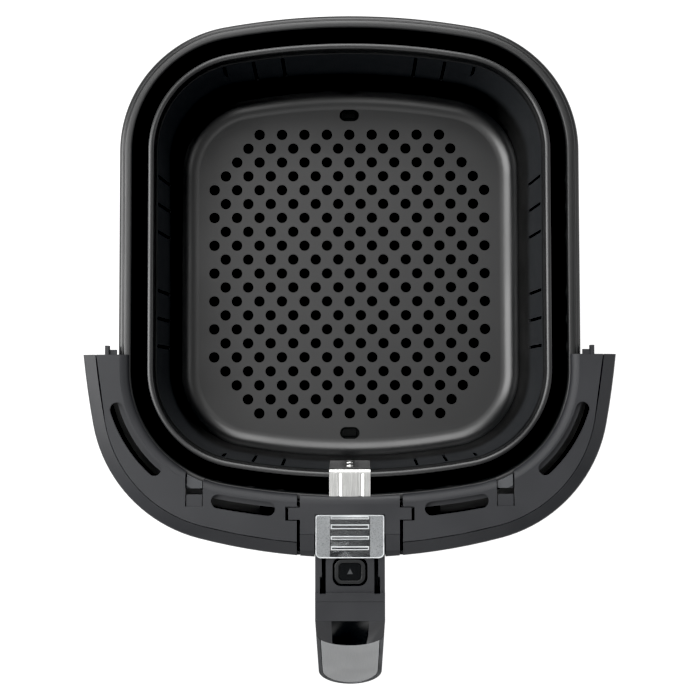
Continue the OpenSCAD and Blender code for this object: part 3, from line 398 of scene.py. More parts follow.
def pressed_shell():
    """Carries a profile round an outline, and closes it with a flat floor."""
    tree, given = begun("pressed_shell", Profile="Object", Floor_top="Float", Floor_underside="Float")
    path = add(tree, "GeometryNodeMeshToCurve", {"Mesh": given["Geometry"]})
    upright = add(tree, "GeometryNodeSetCurveNormal", {"Curve": path.outputs["Curve"]}, mode="Z_UP")
    line = add(tree, "GeometryNodeObjectInfo", {"Object": given["Profile"]})
    profile = add(tree, "GeometryNodeMeshToCurve", {"Mesh": line.outputs["Geometry"]})
    wall = add(tree, "GeometryNodeCurveToMesh", {
        "Curve": upright.outputs["Curve"], "Profile Curve": profile.outputs["Curve"]})
    # The wall's two open edges lie above each other: the upper one gives the floor's outline
    edge = add(tree, "GeometryNodeInputMeshEdgeNeighbors")
    open_edge = add(tree, "FunctionNodeCompare", {"A": edge.outputs["Face Count"], "B": 1},
                    data_type="INT", operation="EQUAL")
    place = add(tree, "GeometryNodeInputPosition")
    parts = add(tree, "ShaderNodeSeparateXYZ", {0: place.outputs[0]})
    middle = add(tree, "ShaderNodeMath", {0: given["Floor top"], 1: given["Floor underside"]}, operation="ADD")
    halved = add(tree, "ShaderNodeMath", {0: middle.outputs[0], 1: 0.5}, operation="MULTIPLY")
    above = add(tree, "FunctionNodeCompare", {"A": parts.outputs["Z"], "B": halved.outputs[0]},
                data_type="FLOAT", operation="GREATER_THAN")
    both = add(tree, "FunctionNodeBooleanMath", {0: open_edge.outputs[0], 1: above.outputs[0]}, operation="AND")
    brim = add(tree, "GeometryNodeMeshToCurve", {"Mesh": wall.outputs["Mesh"], "Selection": both.outputs[0]})
    sheet = add(tree, "GeometryNodeFillCurve", {"Curve": brim.outputs["Curve"]}, mode="NGONS")
    lift = add(tree, "ShaderNodeCombineXYZ", {"Z": given["Floor top"]})
    drop = add(tree, "ShaderNodeCombineXYZ", {"Z": given["Floor underside"]})
    top = add(tree, "GeometryNodeTransform", {"Geometry": sheet.outputs["Mesh"], "Translation": lift.outputs[0]})
    low = add(tree, "GeometryNodeTransform", {"Geometry": sheet.outputs["Mesh"], "Translation": drop.outputs[0]})
    turned = add(tree, "GeometryNodeFlipFaces", {"Mesh": low.outputs["Geometry"]})
    whole = add(tree, "GeometryNodeJoinGeometry", {
        "Geometry": [wall.outputs["Mesh"], top.outputs["Geometry"], turned.outputs["Mesh"]]})
    welded = add(tree, "GeometryNodeMergeByDistance", {
        "Geometry": whole.outputs["Geometry"], "Distance": SHELL_WELD})
    return ended(tree, given, welded.outputs["Geometry"])


def punched_sheet():
    """Punches round holes and upright slits through a shell."""
    tree, given = begun("punched_sheet", Hole_places="Object", Slit_places="Object", Hole_diameter="Float",
                        Slit_width="Float", Slit_height="Float", Punch_length="Float")
    half = add(tree, "ShaderNodeMath", {0: given["Hole diameter"], 1: 0.5}, operation="MULTIPLY")
    punch = add(tree, "GeometryNodeMeshCylinder", {
        "Vertices": 24, "Radius": half.outputs[0], "Depth": given["Punch length"]})
    spots = add(tree, "GeometryNodeObjectInfo", {"Object": given["Hole places"]})
    holes = add(tree, "GeometryNodeInstanceOnPoints", {
        "Points": spots.outputs["Geometry"], "Instance": punch.outputs["Mesh"]})
    size = add(tree, "ShaderNodeCombineXYZ", {
        "X": given["Slit width"], "Y": given["Punch length"], "Z": given["Slit height"]})
    blade = add(tree, "GeometryNodeMeshCube", {"Size": size.outputs[0]})
    lines = add(tree, "GeometryNodeObjectInfo", {"Object": given["Slit places"]})
    turn = add(tree, "GeometryNodeInputNamedAttribute", {"Name": "turn"}, data_type="FLOAT")
    around = add(tree, "ShaderNodeCombineXYZ", {"Z": turn.outputs["Attribute"]})
    slits = add(tree, "GeometryNodeInstanceOnPoints", {
        "Points": lines.outputs["Geometry"], "Instance": blade.outputs["Mesh"], "Rotation": around.outputs[0]})
    tools = add(tree, "GeometryNodeJoinGeometry", {
        "Geometry": [holes.outputs["Instances"], slits.outputs["Instances"]]})
    real = add(tree, "GeometryNodeRealizeInstances", {"Geometry": tools.outputs["Geometry"]})
    cut = add(tree, "GeometryNodeMeshBoolean", {"Mesh 1": given["Geometry"], "Mesh 2": real.outputs["Geometry"]},
              operation="DIFFERENCE", solver="EXACT")
    return ended(tree, given, cut.outputs["Mesh"])


def moulded_beads():
    """A round bead along each line, for lines of painted highlight."""
    tree, given = begun("moulded_beads", Radius="Float")
    path = add(tree, "GeometryNodeMeshToCurve", {"Mesh": given["Geometry"]})
    round_bar = add(tree, "GeometryNodeCurvePrimitiveCircle", {"Resolution": 12, "Radius": given["Radius"]})
    bead = add(tree, "GeometryNodeCurveToMesh", {
        "Curve": path.outputs["Curve"], "Profile Curve": round_bar.outputs["Curve"], "Fill Caps": True})
    return ended(tree, given, bead.outputs["Mesh"])


# In head radii: the head's dome is pressed flat, a block takes its lower half, and two bars cut its cross
DOME_FLAT, BLOCK_SIZE, CROSS_L, CROSS_W, CROSS_DEPTH = 0.56, 4.0, 1.25, 0.28, -0.5


def pan_head_screws():
    """A cross-head screw at each place, its shank along the direction stored there."""
    tree, given = begun("pan_head_screws", Head_radius="Float", Shank_radius="Float", Shank_length="Float")
    head = add(tree, "GeometryNodeMeshUVSphere", {"Segments": 20, "Rings": 10, "Radius": given["Head radius"]})
    flat = add(tree, "GeometryNodeTransform", {"Geometry": head.outputs["Mesh"], "Scale": (1.0, 1.0, DOME_FLAT)})
    room = add(tree, "ShaderNodeMath", {0: given["Head radius"], 1: BLOCK_SIZE}, operation="MULTIPLY")
    lift = add(tree, "ShaderNodeMath", {0: given["Head radius"], 1: BLOCK_SIZE / 2}, operation="MULTIPLY")
    size = add(tree, "ShaderNodeCombineXYZ", {"X": room.outputs[0], "Y": room.outputs[0], "Z": room.outputs[0]})
    above = add(tree, "ShaderNodeCombineXYZ", {"Z": lift.outputs[0]})
    bulk = add(tree, "GeometryNodeMeshCube", {"Size": size.outputs[0]})
    cover = add(tree, "GeometryNodeTransform", {"Geometry": bulk.outputs["Mesh"], "Translation": above.outputs[0]})
    long_side = add(tree, "ShaderNodeMath", {0: given["Head radius"], 1: CROSS_L}, operation="MULTIPLY")
    short_side = add(tree, "ShaderNodeMath", {0: given["Head radius"], 1: CROSS_W}, operation="MULTIPLY")
    down = add(tree, "ShaderNodeMath", {0: given["Head radius"], 1: CROSS_DEPTH}, operation="MULTIPLY")
    sink = add(tree, "ShaderNodeCombineXYZ", {"Z": down.outputs[0]})
    tools = [cover.outputs["Geometry"]]
    for first, second in ((long_side, short_side), (short_side, long_side)):
        bar = add(tree, "ShaderNodeCombineXYZ", {
            "X": first.outputs[0], "Y": second.outputs[0], "Z": short_side.outputs[0]})
        blade = add(tree, "GeometryNodeMeshCube", {"Size": bar.outputs[0]})
        tools.append(add(tree, "GeometryNodeTransform", {
            "Geometry": blade.outputs["Mesh"], "Translation": sink.outputs[0]}).outputs["Geometry"])
    joined = add(tree, "GeometryNodeJoinGeometry", {"Geometry": tools})
    driven_head = add(tree, "GeometryNodeMeshBoolean", {
        "Mesh 1": flat.outputs["Geometry"], "Mesh 2": joined.outputs["Geometry"]},
        operation="DIFFERENCE", solver="EXACT")
    shank = add(tree, "GeometryNodeMeshCylinder", {
        "Vertices": 16, "Radius": given["Shank radius"], "Depth": given["Shank length"]})
    half = add(tree, "ShaderNodeMath", {0: given["Shank length"], 1: 0.5}, operation="MULTIPLY")
    rise = add(tree, "ShaderNodeCombineXYZ", {"Z": half.outputs[0]})
    stem = add(tree, "GeometryNodeTransform", {"Geometry": shank.outputs["Mesh"], "Translation": rise.outputs[0]})
    screw = add(tree, "GeometryNodeJoinGeometry", {
        "Geometry": [driven_head.outputs["Mesh"], stem.outputs["Geometry"]]})
    axis = add(tree, "GeometryNodeInputNamedAttribute", {"Name": "axis"}, data_type="FLOAT_VECTOR")
    aimed = add(tree, "FunctionNodeAlignRotationToVector", {"Vector": axis.outputs["Attribute"]}, axis="Z")
    set_out = add(tree, "GeometryNodeInstanceOnPoints", {
        "Points": given["Geometry"], "Instance": screw.outputs["Geometry"], "Rotation": aimed.outputs["Rotation"]})
    return ended(tree, given, set_out.outputs["Instances"])


def domed_rivets():
    """A rivet with a low dome at each place, its shank along the direction stored there."""
    tree, given = begun("domed_rivets", Dome_radius="Float", Dome_height="Float", Shank_radius="Float",
                        Shank_length="Float")
    ball = add(tree, "GeometryNodeMeshUVSphere", {"Segments": 28, "Rings": 14, "Radius": given["Dome radius"]})
    ratio = add(tree, "ShaderNodeMath", {0: given["Dome height"], 1: given["Dome radius"]}, operation="DIVIDE")
    squat = add(tree, "ShaderNodeCombineXYZ", {"X": 1.0, "Y": 1.0, "Z": ratio.outputs[0]})
    dome = add(tree, "GeometryNodeTransform", {"Geometry": ball.outputs["Mesh"], "Scale": squat.outputs[0]})
    shank = add(tree, "GeometryNodeMeshCylinder", {
        "Vertices": 20, "Radius": given["Shank radius"], "Depth": given["Shank length"]})
    half = add(tree, "ShaderNodeMath", {0: given["Shank length"], 1: 0.5}, operation="MULTIPLY")
    rise = add(tree, "ShaderNodeCombineXYZ", {"Z": half.outputs[0]})
    stem = add(tree, "GeometryNodeTransform", {"Geometry": shank.outputs["Mesh"], "Translation": rise.outputs[0]})
    tail = add(tree, "ShaderNodeCombineXYZ", {"Z": given["Shank length"]})
    closed = add(tree, "GeometryNodeTransform", {
        "Geometry": dome.outputs["Geometry"], "Translation": tail.outputs[0]})
    rivet = add(tree, "GeometryNodeJoinGeometry", {
        "Geometry": [dome.outputs["Geometry"], stem.outputs["Geometry"], closed.outputs["Geometry"]]})
    axis = add(tree, "GeometryNodeInputNamedAttribute", {"Name": "axis"}, data_type="FLOAT_VECTOR")
    aimed = add(tree, "FunctionNodeAlignRotationToVector", {"Vector": axis.outputs["Attribute"]}, axis="Z")
    set_out = add(tree, "GeometryNodeInstanceOnPoints", {
        "Points": given["Geometry"], "Instance": rivet.outputs["Geometry"], "Rotation": aimed.outputs["Rotation"]})
    return ended(tree, given, set_out.outputs["Instances"])


# ---------------------------------------------------------------- pieces
# Degrees: a CAD node's facets that differ less are one face, edges steeper than these are rounded or sharp
FLAT_BELOW, ROUNDED_ABOVE, SHARP_ABOVE = 0.4, 28, 35
EDGE_STEPS = 2


def shaded(mesh):
    """Smooth shading, apart from steep edges."""
    bm = bmesh.new()
    bm.from_mesh(mesh)
    for face in bm.faces:
        face.smooth = True
    for edge in bm.edges:
        edge.smooth = not (edge.is_manifold and edge.calc_face_angle(0) > math.radians(SHARP_ABOVE))
    bm.to_mesh(mesh)
    bm.free()


def carried(piece, node, finish):
    """Gives a piece its finish, and lets it move with a node's body."""
    piece.data.materials.clear()
    piece.data.materials.append(materials[finish])
    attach(piece, body_of[node])


def settled(piece, node, finish):
    """Lets a piece stand for a node, in its place and on its body."""
    carried(piece, node, finish)
    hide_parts(node)


def applied(piece):
    """Turns a piece and its modifiers into a plain mesh."""
    bpy.context.view_layer.update()
    evaluated = piece.evaluated_get(bpy.context.evaluated_depsgraph_get())
    mesh = bpy.data.meshes.new_from_object(evaluated)
    piece.modifiers.clear()
    old = piece.data
    piece.data = mesh
    bpy.data.meshes.remove(old)
    return piece


def edged(piece, edge_mm):
    """Rounds a piece's edges, shades it smooth, and lets its large faces lead the shading."""
    bevel = piece.modifiers.new("edges", "BEVEL")
    bevel.width = edge_mm * MM
    bevel.segments = EDGE_STEPS
    bevel.limit_method = "ANGLE"
    bevel.angle_limit = math.radians(ROUNDED_ABOVE)
    bevel.use_clamp_overlap = True
    applied(piece)
    shaded(piece.data)
    lead = piece.modifiers.new("large_faces_lead", "WEIGHTED_NORMAL")
    lead.mode = "FACE_AREA"
    lead.weight = 100
    lead.keep_sharp = True
    return applied(piece)


def outward(piece):
    """Turns all faces of closed shells outwards."""
    bm = bmesh.new()
    bm.from_mesh(piece.data)
    bmesh.ops.recalc_face_normals(bm, faces=bm.faces)
    bm.to_mesh(piece.data)
    bm.free()
    return piece


def finished(node, finish, edge_mm):
    """A copy of a CAD node with its triangles joined, its flat faces whole and its edges rounded."""
    bm = bmesh.new()
    bm.from_mesh(nodes[node].data)
    bmesh.ops.remove_doubles(bm, verts=bm.verts, dist=NODE_WELD)
    bmesh.ops.dissolve_limit(bm, angle_limit=math.radians(FLAT_BELOW), verts=bm.verts, edges=bm.edges)
    mesh = bpy.data.meshes.new(node + "_finished")
    bm.to_mesh(mesh)
    bm.free()
    piece = edged(linked(node + "_finished", mesh), edge_mm)
    settled(piece, node, finish)
    return piece


def prism(name, points, rise):
    """An upright solid: a flat outline carried up, in metres."""
    bm = bmesh.new()
    bm.faces.new([bm.verts.new(point) for point in points])
    bmesh.ops.remove_doubles(bm, verts=bm.verts, dist=LINE_WELD)
    upper = bmesh.ops.extrude_face_region(bm, geom=bm.faces[:])["geom"]
    bmesh.ops.translate(bm, vec=(0, 0, rise), verts=[v for v in upper if isinstance(v, bmesh.types.BMVert)])
    bmesh.ops.recalc_face_normals(bm, faces=bm.faces)
    mesh = bpy.data.meshes.new(name)
    bm.to_mesh(mesh)
    bm.free()
    return linked(name, mesh)


def moved(piece, y_mm):
    """Moves a piece's mesh along Y."""
    piece.data.transform(Matrix.Translation((0, y_mm * MM, 0)))
    return piece


def dropped(*items):
    """Removes construction objects."""
    for item in items:
        bpy.data.objects.remove(item)


# Pan and basket: pressed shells round the same outline
PAN_EDGE, BASKET_EDGE = 0.12, 0.28
# The pan's floor below this height, where a face looks up at least this much, takes the painted-shade coating:
# near black, painted shade under the basket
PAN_FLOOR_TOP, LOOKS_UP = 13, 0.3
# The basket's walls between these heights take the painted-shade coating: duller, painted shade low down and
# painted light high up
WALL_FOOT, WALL_TOP = 41, 105.5

shell_tree = pressed_shell()
pan_line = outline_mesh("pan_line", pan_profile(), closed=False, flip=True)
pan = outline_mesh("deep_drawn_pan", rim_outline(), closed=True)
driven(pan, shell_tree, Profile=pan_line, Floor_top=PAN_T * MM, Floor_underside=0.0,
       Finish=materials["pan_coating"])
moved(edged(outward(applied(pan)), PAN_EDGE), BASKET_Y)
settled(pan, "outer_pan", "pan_coating")
# Painted shade: the pan's floor under the basket turns near black
pan.data.materials.append(materials["painted_shade_coating"])
for face in pan.data.polygons:
    face.material_index = int(face.center.z < PAN_FLOOR_TOP * MM and face.normal.z > LOOKS_UP)

# Round holes: rows, pitches and diameter, then the holes in an end row and the most in an even and an odd row
HOLE_ROWS, HOLE_PITCH, ROW_PITCH, HOLE_D = 21, 15.2, 9.43, 7.1
END_ROW, EVEN_ROW, ODD_ROW = 9, 13, 12
# Upright slits: size, distance below the rolled rim, places along end and side walls, and where those walls are
SLIT_W, SLIT_H, SLIT_DROP = 1.8, 33.0, 5
END_SLITS, SIDE_SLITS, END_WALL_Y, SIDE_WALL_X = (41, 59, 77), (18, 35, 52), 126, 116
PUNCH_L = 16

hole_spots = []
for row in range(HOLE_ROWS):
    count = min(END_ROW + row, END_ROW + HOLE_ROWS - 1 - row, ODD_ROW if row % 2 else EVEN_ROW)
    for k in range(count):
        hole_spots.append(((k - (count - 1) / 2) * HOLE_PITCH * MM, (HOLE_ROWS // 2 - row) * ROW_PITCH * MM,
                           (FLOOR_H - BASKET_T / 2) * MM))
slit_z = (RIM_H - 2 * BEAD_R - SLIT_DROP - SLIT_H / 2) * MM
quarters = [(sx, sy) for sx in (-1, 1) for sy in (-1, 1)]
end_spots = [(sx * x * MM, sy * END_WALL_Y * MM, slit_z) for x in END_SLITS for sx, sy in quarters]
side_spots = [(sx * SIDE_WALL_X * MM, sy * y * MM, slit_z) for y in SIDE_SLITS for sx, sy in quarters]
hole_places = places("hole_places", hole_spots)
slit_places = places("slit_places", end_spots + side_spots,
                     turn=[0.0] * len(end_spots) + [math.pi / 2] * len(side_spots))
basket_line = outline_mesh("basket_line", basket_profile(), closed=False, flip=True)
basket = outline_mesh("perforated_basket", rim_outline(), closed=True)
driven(basket, shell_tree, Profile=basket_line, Floor_top=FLOOR_H * MM,
       Floor_underside=(FLOOR_H - BASKET_T) * MM, Finish=materials["basket_coating"])
outward(applied(basket))
driven(basket, punched_sheet(), Hole_places=hole_places, Slit_places=slit_places, Hole_diameter=HOLE_D * MM,
       Slit_width=SLIT_W * MM, Slit_height=SLIT_H * MM, Punch_length=PUNCH_L * MM,
       Finish=materials["basket_coating"])
applied(basket)

# Slots with round ends: distance from the middle, half distance between the ends' centres, radius of the ends
SLOT_Y, SLOT_HALF, SLOT_R, SLOT_STEPS = 107.5, 2.6, 4, 16
# The punch that cuts them: its foot's height, and its own height
PUNCH_FOOT, PUNCH_H = 26, 4

for middle in (SLOT_Y, -SLOT_Y):
    ring = arc(SLOT_HALF, 0, SLOT_R, -90, 90, SLOT_STEPS) + [(SLOT_HALF, SLOT_R), (-SLOT_HALF, SLOT_R)]
    ring += arc(-SLOT_HALF, 0, SLOT_R, 90.01, 270, SLOT_STEPS) + [(-SLOT_HALF, -SLOT_R)]
    punch = prism("slot_punch", [(x * MM, (y + middle) * MM, PUNCH_FOOT * MM) for x, y in ring], PUNCH_H * MM)
    cut = basket.modifiers.new("slot", "BOOLEAN")
    cut.object = punch
    cut.operation = "DIFFERENCE"
    cut.solver = "EXACT"
    applied(basket)
    dropped(punch)
moved(edged(basket, BASKET_EDGE), BASKET_Y)
settled(basket, "basket", "basket_coating")
# Painted shade and painted light on the walls, by height
basket.data.materials.append(materials["painted_shade_coating"])
for face in basket.data.polygons:
    face.material_index = int(WALL_FOOT * MM < face.center.z < WALL_TOP * MM)
dropped(pan_line, basket_line, hole_places, slit_places)

# Pieces that keep their solid's shape: finish, and width of the rounded edges in mm
EDGES = {
    "rear_support": ("phosphated_steel", 0.25), "front_support": ("phosphated_steel", 0.25),
    "pan_clips": ("clip_plastic", 0.25), "pan_brackets": ("phosphated_steel", 0.2),
    "front_frame": ("frame_plastic", 0.35), "front_fascia": ("fascia_plastic", 0.4),
    "housing_liner": ("liner_plastic", 0.3), "latch_strike": ("support_steel", 0.2),
    "basket_strap": ("strap_steel", 0.22), "handle_top": ("handle_plastic", 0.35),
    "handle_base": ("handle_plastic", 0.5), "block_front": ("fascia_plastic", 0.35),
    "grip_cap": ("handle_plastic", 0.3), "grip_bezel": ("bright_trim", 0.3),
    "grip_plate": ("plate_metal", 0.3), "lever_pin": ("screw_steel", 0.2),
    "button_cap": ("button_plastic", 0.45), "button_face": ("gloss_black", 0.2),
    "slide_guard": ("clear_plastic", 0.2), "latch_lever": ("support_steel", 0.25),
}
fitted = {node: finished(node, finish, edge) for node, (finish, edge) in EDGES.items()}


def refaced(piece, x_mm, choose, *extra):
    """Cuts a piece's faces along two upright planes, and gives each the finish whose number choose returns."""
    bm = bmesh.new()
    bm.from_mesh(piece.data)
    for x in (-x_mm, x_mm):
        bmesh.ops.bisect_plane(bm, geom=bm.verts[:] + bm.edges[:] + bm.faces[:], plane_co=(x * MM, 0, 0),
                               plane_no=(1, 0, 0))
    for face in bm.faces:
        face.material_index = choose(face.calc_center_median(), face.normal)
    bm.to_mesh(piece.data)
    bm.free()
    for name in extra:
        piece.data.materials.append(materials[name])


# The guard is clear in the middle and blasted at the sides, and its steep faces take painted highlight
CLEAR_HALF_W, LEVEL_FACE = 11.9, 0.93
refaced(fitted["slide_guard"], CLEAR_HALF_W,
        lambda place, normal: 2 if abs(normal.z) < LEVEL_FACE else int(abs(place.x) > CLEAR_HALF_W * MM),
        "frosted_plastic", "painted_highlight_plastic")
# A polished inlay fills the middle of the grip's cap
INLAY_HALF_W = 11.1
refaced(fitted["grip_cap"], INLAY_HALF_W, lambda place, normal: int(abs(place.x) < INLAY_HALF_W * MM),
        "gloss_black")

# The guard's finger ribs: distance from its rear edge and width, then the length that they share
RIBS, RIB_L = ((0.8, 1.6), (5.6, 2.6), (12.5, 1.9), (18.5, 2.1)), 22.6
# Beads of painted highlight: inset from sides and ends, front and rear corner radius, depth below the guard's top,
# bead's radius
RIM_BEAD = 0.35, 0.35, 3, 0.9, 0.7, 0.32
RIB_BEAD = 0.35, 0.3, 0.4, 0.4, 0.1, 0.27
BEAD_STEPS = 6
low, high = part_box("slide_guard")
guard_half_w, guard_front, guard_rear, guard_top = high[0] / MM, low[1] / MM, high[1] / MM, high[2] / MM
bead_tree = moulded_beads()


def beaded(name, half_w, first, last, inset_x, inset_y, front_r, rear_r, depth, radius):
    """A bead round a rectangle on the guard's top, pale with painted highlight."""
    front_x, rear_x = half_w - inset_x - front_r, half_w - inset_x - rear_r
    front_y, rear_y = first + inset_y + front_r, last - inset_y - rear_r
    line = (arc(front_x, front_y, front_r, -90, 0, BEAD_STEPS) + arc(rear_x, rear_y, rear_r, 0, 90, BEAD_STEPS)
            + arc(-rear_x, rear_y, rear_r, 90, 180, BEAD_STEPS)
            + arc(-front_x, front_y, front_r, 180, 270, BEAD_STEPS))
    bead = outline_mesh(name, line, closed=True)
    driven(bead, bead_tree, Radius=radius * MM, Finish=materials["painted_highlight_plastic"])
    outward(applied(bead))
    bead.data.transform(Matrix.Translation((0, 0, (guard_top - depth) * MM)))
    shaded(bead.data)
    carried(bead, "slide_guard", "painted_highlight_plastic")


beaded("guard_rim", guard_half_w, guard_front, guard_rear, *RIM_BEAD)
for k, (start, width) in enumerate(RIBS):
    beaded(f"guard_rib_{k + 1}", RIB_L / 2, guard_rear - start - width, guard_rear - start, *RIB_BEAD)

# The button's raised triangle, pointing back: its size, height, sunk depth, rounded edge and corners
MARK_SIZE, MARK_H, MARK_SUNK, MARK_EDGE = 3.4, 0.12, 0.05, 0.05
MARK_CORNERS = (-0.5, -0.43), (0.5, -0.43), (0.0, 0.5)
low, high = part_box("button_face")
middle = Vector(((low[0] + high[0]) / 2, (low[1] + high[1]) / 2, high[2]))
mark = prism("button_mark", [middle + Vector((MARK_SIZE * x * MM, MARK_SIZE * y * MM, -MARK_SUNK * MM))
                             for x, y in MARK_CORNERS], (MARK_H + MARK_SUNK) * MM)
carried(edged(mark, MARK_EDGE), "button_face", "mark_plastic")


# ---------------------------------------------------------------- screws, rivets and spring
def islands(node):
    """The separate solids of a CAD node, each as a list of its points."""
    bm = bmesh.new()
    bm.from_mesh(nodes[node].data)
    bmesh.ops.remove_doubles(bm, verts=bm.verts, dist=NODE_WELD)
    left, found = dict.fromkeys(bm.verts), []
    while left:
        seed = next(iter(left))
        del left[seed]
        group, queue = [seed], [seed]
        while queue:
            for edge in queue.pop().link_edges:
                for vert in edge.verts:
                    if vert in left:
                        del left[vert]
                        group.append(vert)
                        queue.append(vert)
        found.append([v.co.copy() for v in group])
    bm.free()
    return found


# The share of a head's height, from its top, whose points give its middle
HEAD_SHARE = 0.3


def seats(node, axis, head_h):
    """For each screw: where its head meets its seat, the way of its shank, and the shank's length."""
    found = []
    for group in islands(node):
        way = Vector(axis(group)).normalized()
        reach = [p.dot(way) for p in group]
        low = min(reach)
        head = [p for p, r in zip(group, reach) if r < low + HEAD_SHARE * head_h]
        centre = Vector([(min(p[i] for p in head) + max(p[i] for p in head)) / 2 for i in range(3)])
        centre += way * (low + head_h - centre.dot(way))
        found.append((centre, way, max(reach) - low - head_h))
    return found


# The grip's lean, to which its screws stand square, and the radius in mm of the pan's front at the brackets
GRIP_LEAN, FRONT_BOW = math.radians(31.6), 442
# Screws: height of the head, radius of the shank, what the shank is short of its bore, and rounded edges
HEAD_H, SHANK_R, SHANK_SHORT, SCREW_EDGE = 1.8, 1.5, 0.05, 0.08
# The way of each node's shanks, worked out from a screw's own points, and the diameter of its heads
SCREWS = {
    "frame_screws": (lambda group: (0, 0, 1), 6.0),
    "fascia_screws": (lambda group: (0, 0, 1), 6.0),
    "strike_screws": (lambda group: (0, 0, 1), 6.0),
    "strap_screws": (lambda group: (0, 1, 0), 5.0),
    "handle_screws": (lambda group: (0, -math.cos(GRIP_LEAN), math.sin(GRIP_LEAN)), 6.0),
    "bracket_screws": (lambda group: (-sum(p.x for p in group) / len(group) / (FRONT_BOW * MM), 1, 0), 6.0),
}
screw_tree = pan_head_screws()
for node, (axis, head_d) in SCREWS.items():
    seat = seats(node, axis, HEAD_H * MM)
    screws = places(node + "_fitted", [where for where, _, _ in seat], axis=[way for _, way, _ in seat])
    driven(screws, screw_tree, Head_radius=head_d / 2 * MM, Shank_radius=SHANK_R * MM,
           Shank_length=seat[0][2] - SHANK_SHORT * MM, Finish=materials["screw_steel"])
    edged(applied(screws), SCREW_EDGE)
    settled(screws, node, "screw_steel")

# Rivets: radius and height of the dome, its solid's height, radius and length of the shank, rounded edges
DOME_R, DOME_H, DOME_SOLID_H, RIVET_R, RIVET_L, RIVET_EDGE = 3, 1.5, 1.6, 1.68, 3.2, 0.05
wall_lean = math.atan2(WALL_LEAN, WALL_H)
rivet_way = Vector((0, -math.cos(wall_lean), -math.sin(wall_lean)))
seat = seats("strap_rivets", lambda group: rivet_way, DOME_SOLID_H * MM)
rivets = places("strap_rivets_fitted", [where for where, _, _ in seat], axis=[way for _, way, _ in seat])
driven(rivets, domed_rivets(), Dome_radius=DOME_R * MM, Dome_height=DOME_H * MM, Shank_radius=RIVET_R * MM,
       Shank_length=RIVET_L * MM, Finish=materials["strap_steel"])
edged(applied(rivets), RIVET_EDGE)
settled(rivets, "strap_rivets", "strap_steel")

# The spring stands on the arm's floor
spring = linked("button_spring_wire", nodes["button_spring"].data.copy())
settled(spring, "button_spring", "spring_steel")
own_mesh(spring)


# ---------------------------------------------------------------- stage, lights and camera
def white_table(tree):
    speck = grain(tree, 3, detail=2.0)
    share = add(tree, "ShaderNodeMapRange", {"Value": speck, "From Min": NOISE_LOW, "From Max": NOISE_HIGH})
    colour = add(tree, "ShaderNodeMix", {
        0: share.outputs["Result"], 6: linear("#6c6c6c"), 7: linear("#727272")}, data_type="RGBA")
    return {"Base Color": colour.outputs[2]}


# Metres: half the table's side, and how far its top lies below the pan
TABLE_HALF, TABLE_DROP = 40.0, 0.0004
table = linked("table_top", bpy.data.meshes.new("table_top"))
corners = [(sx * TABLE_HALF, sy * TABLE_HALF, 0) for sx, sy in ((-1, -1), (1, -1), (1, 1), (-1, 1))]
table.data.from_pydata(corners, [], [(0, 1, 2, 3)])
table.location.z = -TABLE_DROP
# It glows, so that it stays white. It lights the drawer from below, but gloss shows the dark studio behind it
table.data.materials.append(surface("white_table_top", white_table, Roughness=0.6,
                                    Emission_Color=linear("#ffffff"), Emission_Strength=1.0))
table.visible_glossy = False

# Each softbox: name, place, size across and up, radiance
SOFTBOXES = [
    ("overhead", (-0.35, 0.4, 2.2), 1.6, 1.6, 0.66),
    ("left", (-1.5, 0.15, 1.35), 1.2, 1.7, 4.9),
    ("rear", (-0.1, 1.65, 1.4), 1.4, 1.6, 3.5),
    ("right", (1.85, 0.0, 0.95), 1.2, 0.8, 1.0),
    ("front", (0.0, -1.6, 1.4), 1.0, 0.8, 1.3),
]
LIT_PLACE = Vector((0, 0.03, 0.1))
for name, place, width, height, radiance in SOFTBOXES:
    light = linked(name, bpy.data.lights.new(name, "AREA"))
    light.data.shape = "RECTANGLE"
    light.data.size, light.data.size_y = width, height
    light.data.energy = radiance * math.pi * width * height
    light.location = place
    light.rotation_euler = (LIT_PLACE - Vector(place)).to_track_quat("-Z", "Y").to_euler()

# The studio's brightness by the height of the line of sight, from 0 straight down to 1 straight up:
# pale below and at the walls, dim above them, brighter at the ceiling
STUDIO = (0.33, 0.85), (0.49, 0.5), (0.6, 0.42), (0.66, 0.14), (0.95, 0.35)
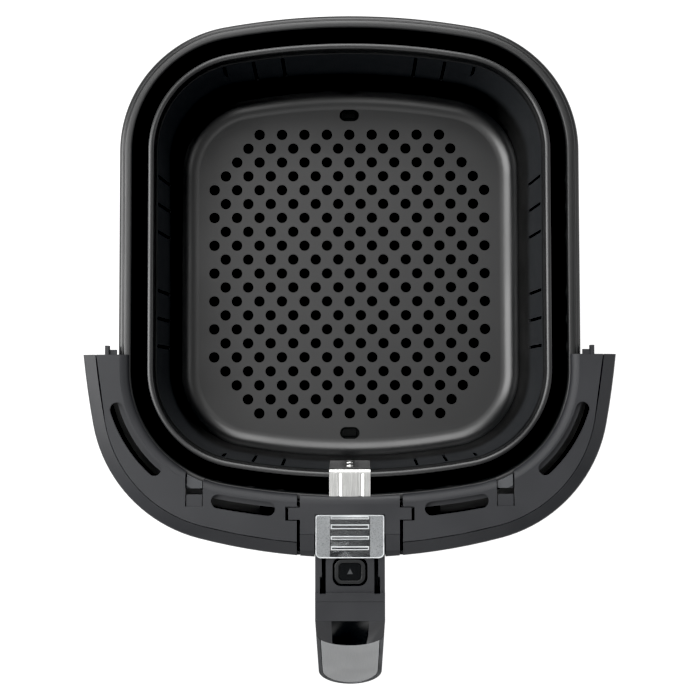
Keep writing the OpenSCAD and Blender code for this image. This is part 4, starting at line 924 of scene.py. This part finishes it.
# Below the horizon nothing pale stands straight in front, so that polished faces stay black in the middle:
# the dark aisle's half width, where it starts to end and where it has ended, and the height where it ends
AISLE, AISLE_TOP = (0.06, 0.12), (-0.1, 0.0)
world = bpy.data.worlds.new("studio")
scene.world = world
world.use_nodes = True
room = world.node_tree
place = add(room, "ShaderNodeTexCoord")
sight = add(room, "ShaderNodeSeparateXYZ", {0: place.outputs["Generated"]})
share = add(room, "ShaderNodeMapRange", {"Value": sight.outputs["Z"], "From Min": -1.0, "From Max": 1.0})
levels = add(room, "ShaderNodeValToRGB", {"Fac": share.outputs["Result"]})
stops = levels.color_ramp.elements
stops.remove(stops[1])
for k, (at, level) in enumerate(STUDIO):
    stop = stops.new(at) if k else stops[0]
    stop.position = at
    stop.color = (level, level, level, 1)
aside = add(room, "ShaderNodeMath", {0: sight.outputs["X"]}, operation="ABSOLUTE")
beside = add(room, "ShaderNodeMapRange", {
    "Value": aside.outputs[0], "From Min": AISLE[0], "From Max": AISLE[1]})
above = add(room, "ShaderNodeMapRange", {
    "Value": sight.outputs["Z"], "From Min": AISLE_TOP[0], "From Max": AISLE_TOP[1]})
seen = add(room, "ShaderNodeMath", {0: beside.outputs["Result"], 1: above.outputs["Result"]},
           operation="MAXIMUM")
glow = add(room, "ShaderNodeMath", {0: levels.outputs["Color"], 1: seen.outputs[0]}, operation="MULTIPLY")
room.links.new(glow.outputs[0], room.nodes["Background"].inputs["Strength"])
room.nodes["Background"].inputs["Color"].default_value = linear("#ffffff")

# The camera looks almost straight down: sensor and lens in mm, place in metres, turns in degrees
SENSOR, LENS, CAMERA_PLACE = 36, 59.14, (0.00016, -0.018, 0.802)
CAMERA_TILT, CAMERA_ROLL = 2.24, -0.1
# Deep blacks, as on a printed catalogue page
BLACK_LEVEL = 0.006
camera = linked("camera", bpy.data.cameras.new("camera"))
camera.data.sensor_width = SENSOR
camera.data.lens = LENS
camera.location = CAMERA_PLACE
camera.rotation_euler = (math.radians(CAMERA_TILT), 0, math.radians(CAMERA_ROLL))
scene.camera = camera
scene.view_settings.view_transform = "Standard"
scene.view_settings.use_curve_mapping = True
scene.view_settings.curve_mapping.black_level = (BLACK_LEVEL,) * 3
scene.view_settings.curve_mapping.update()
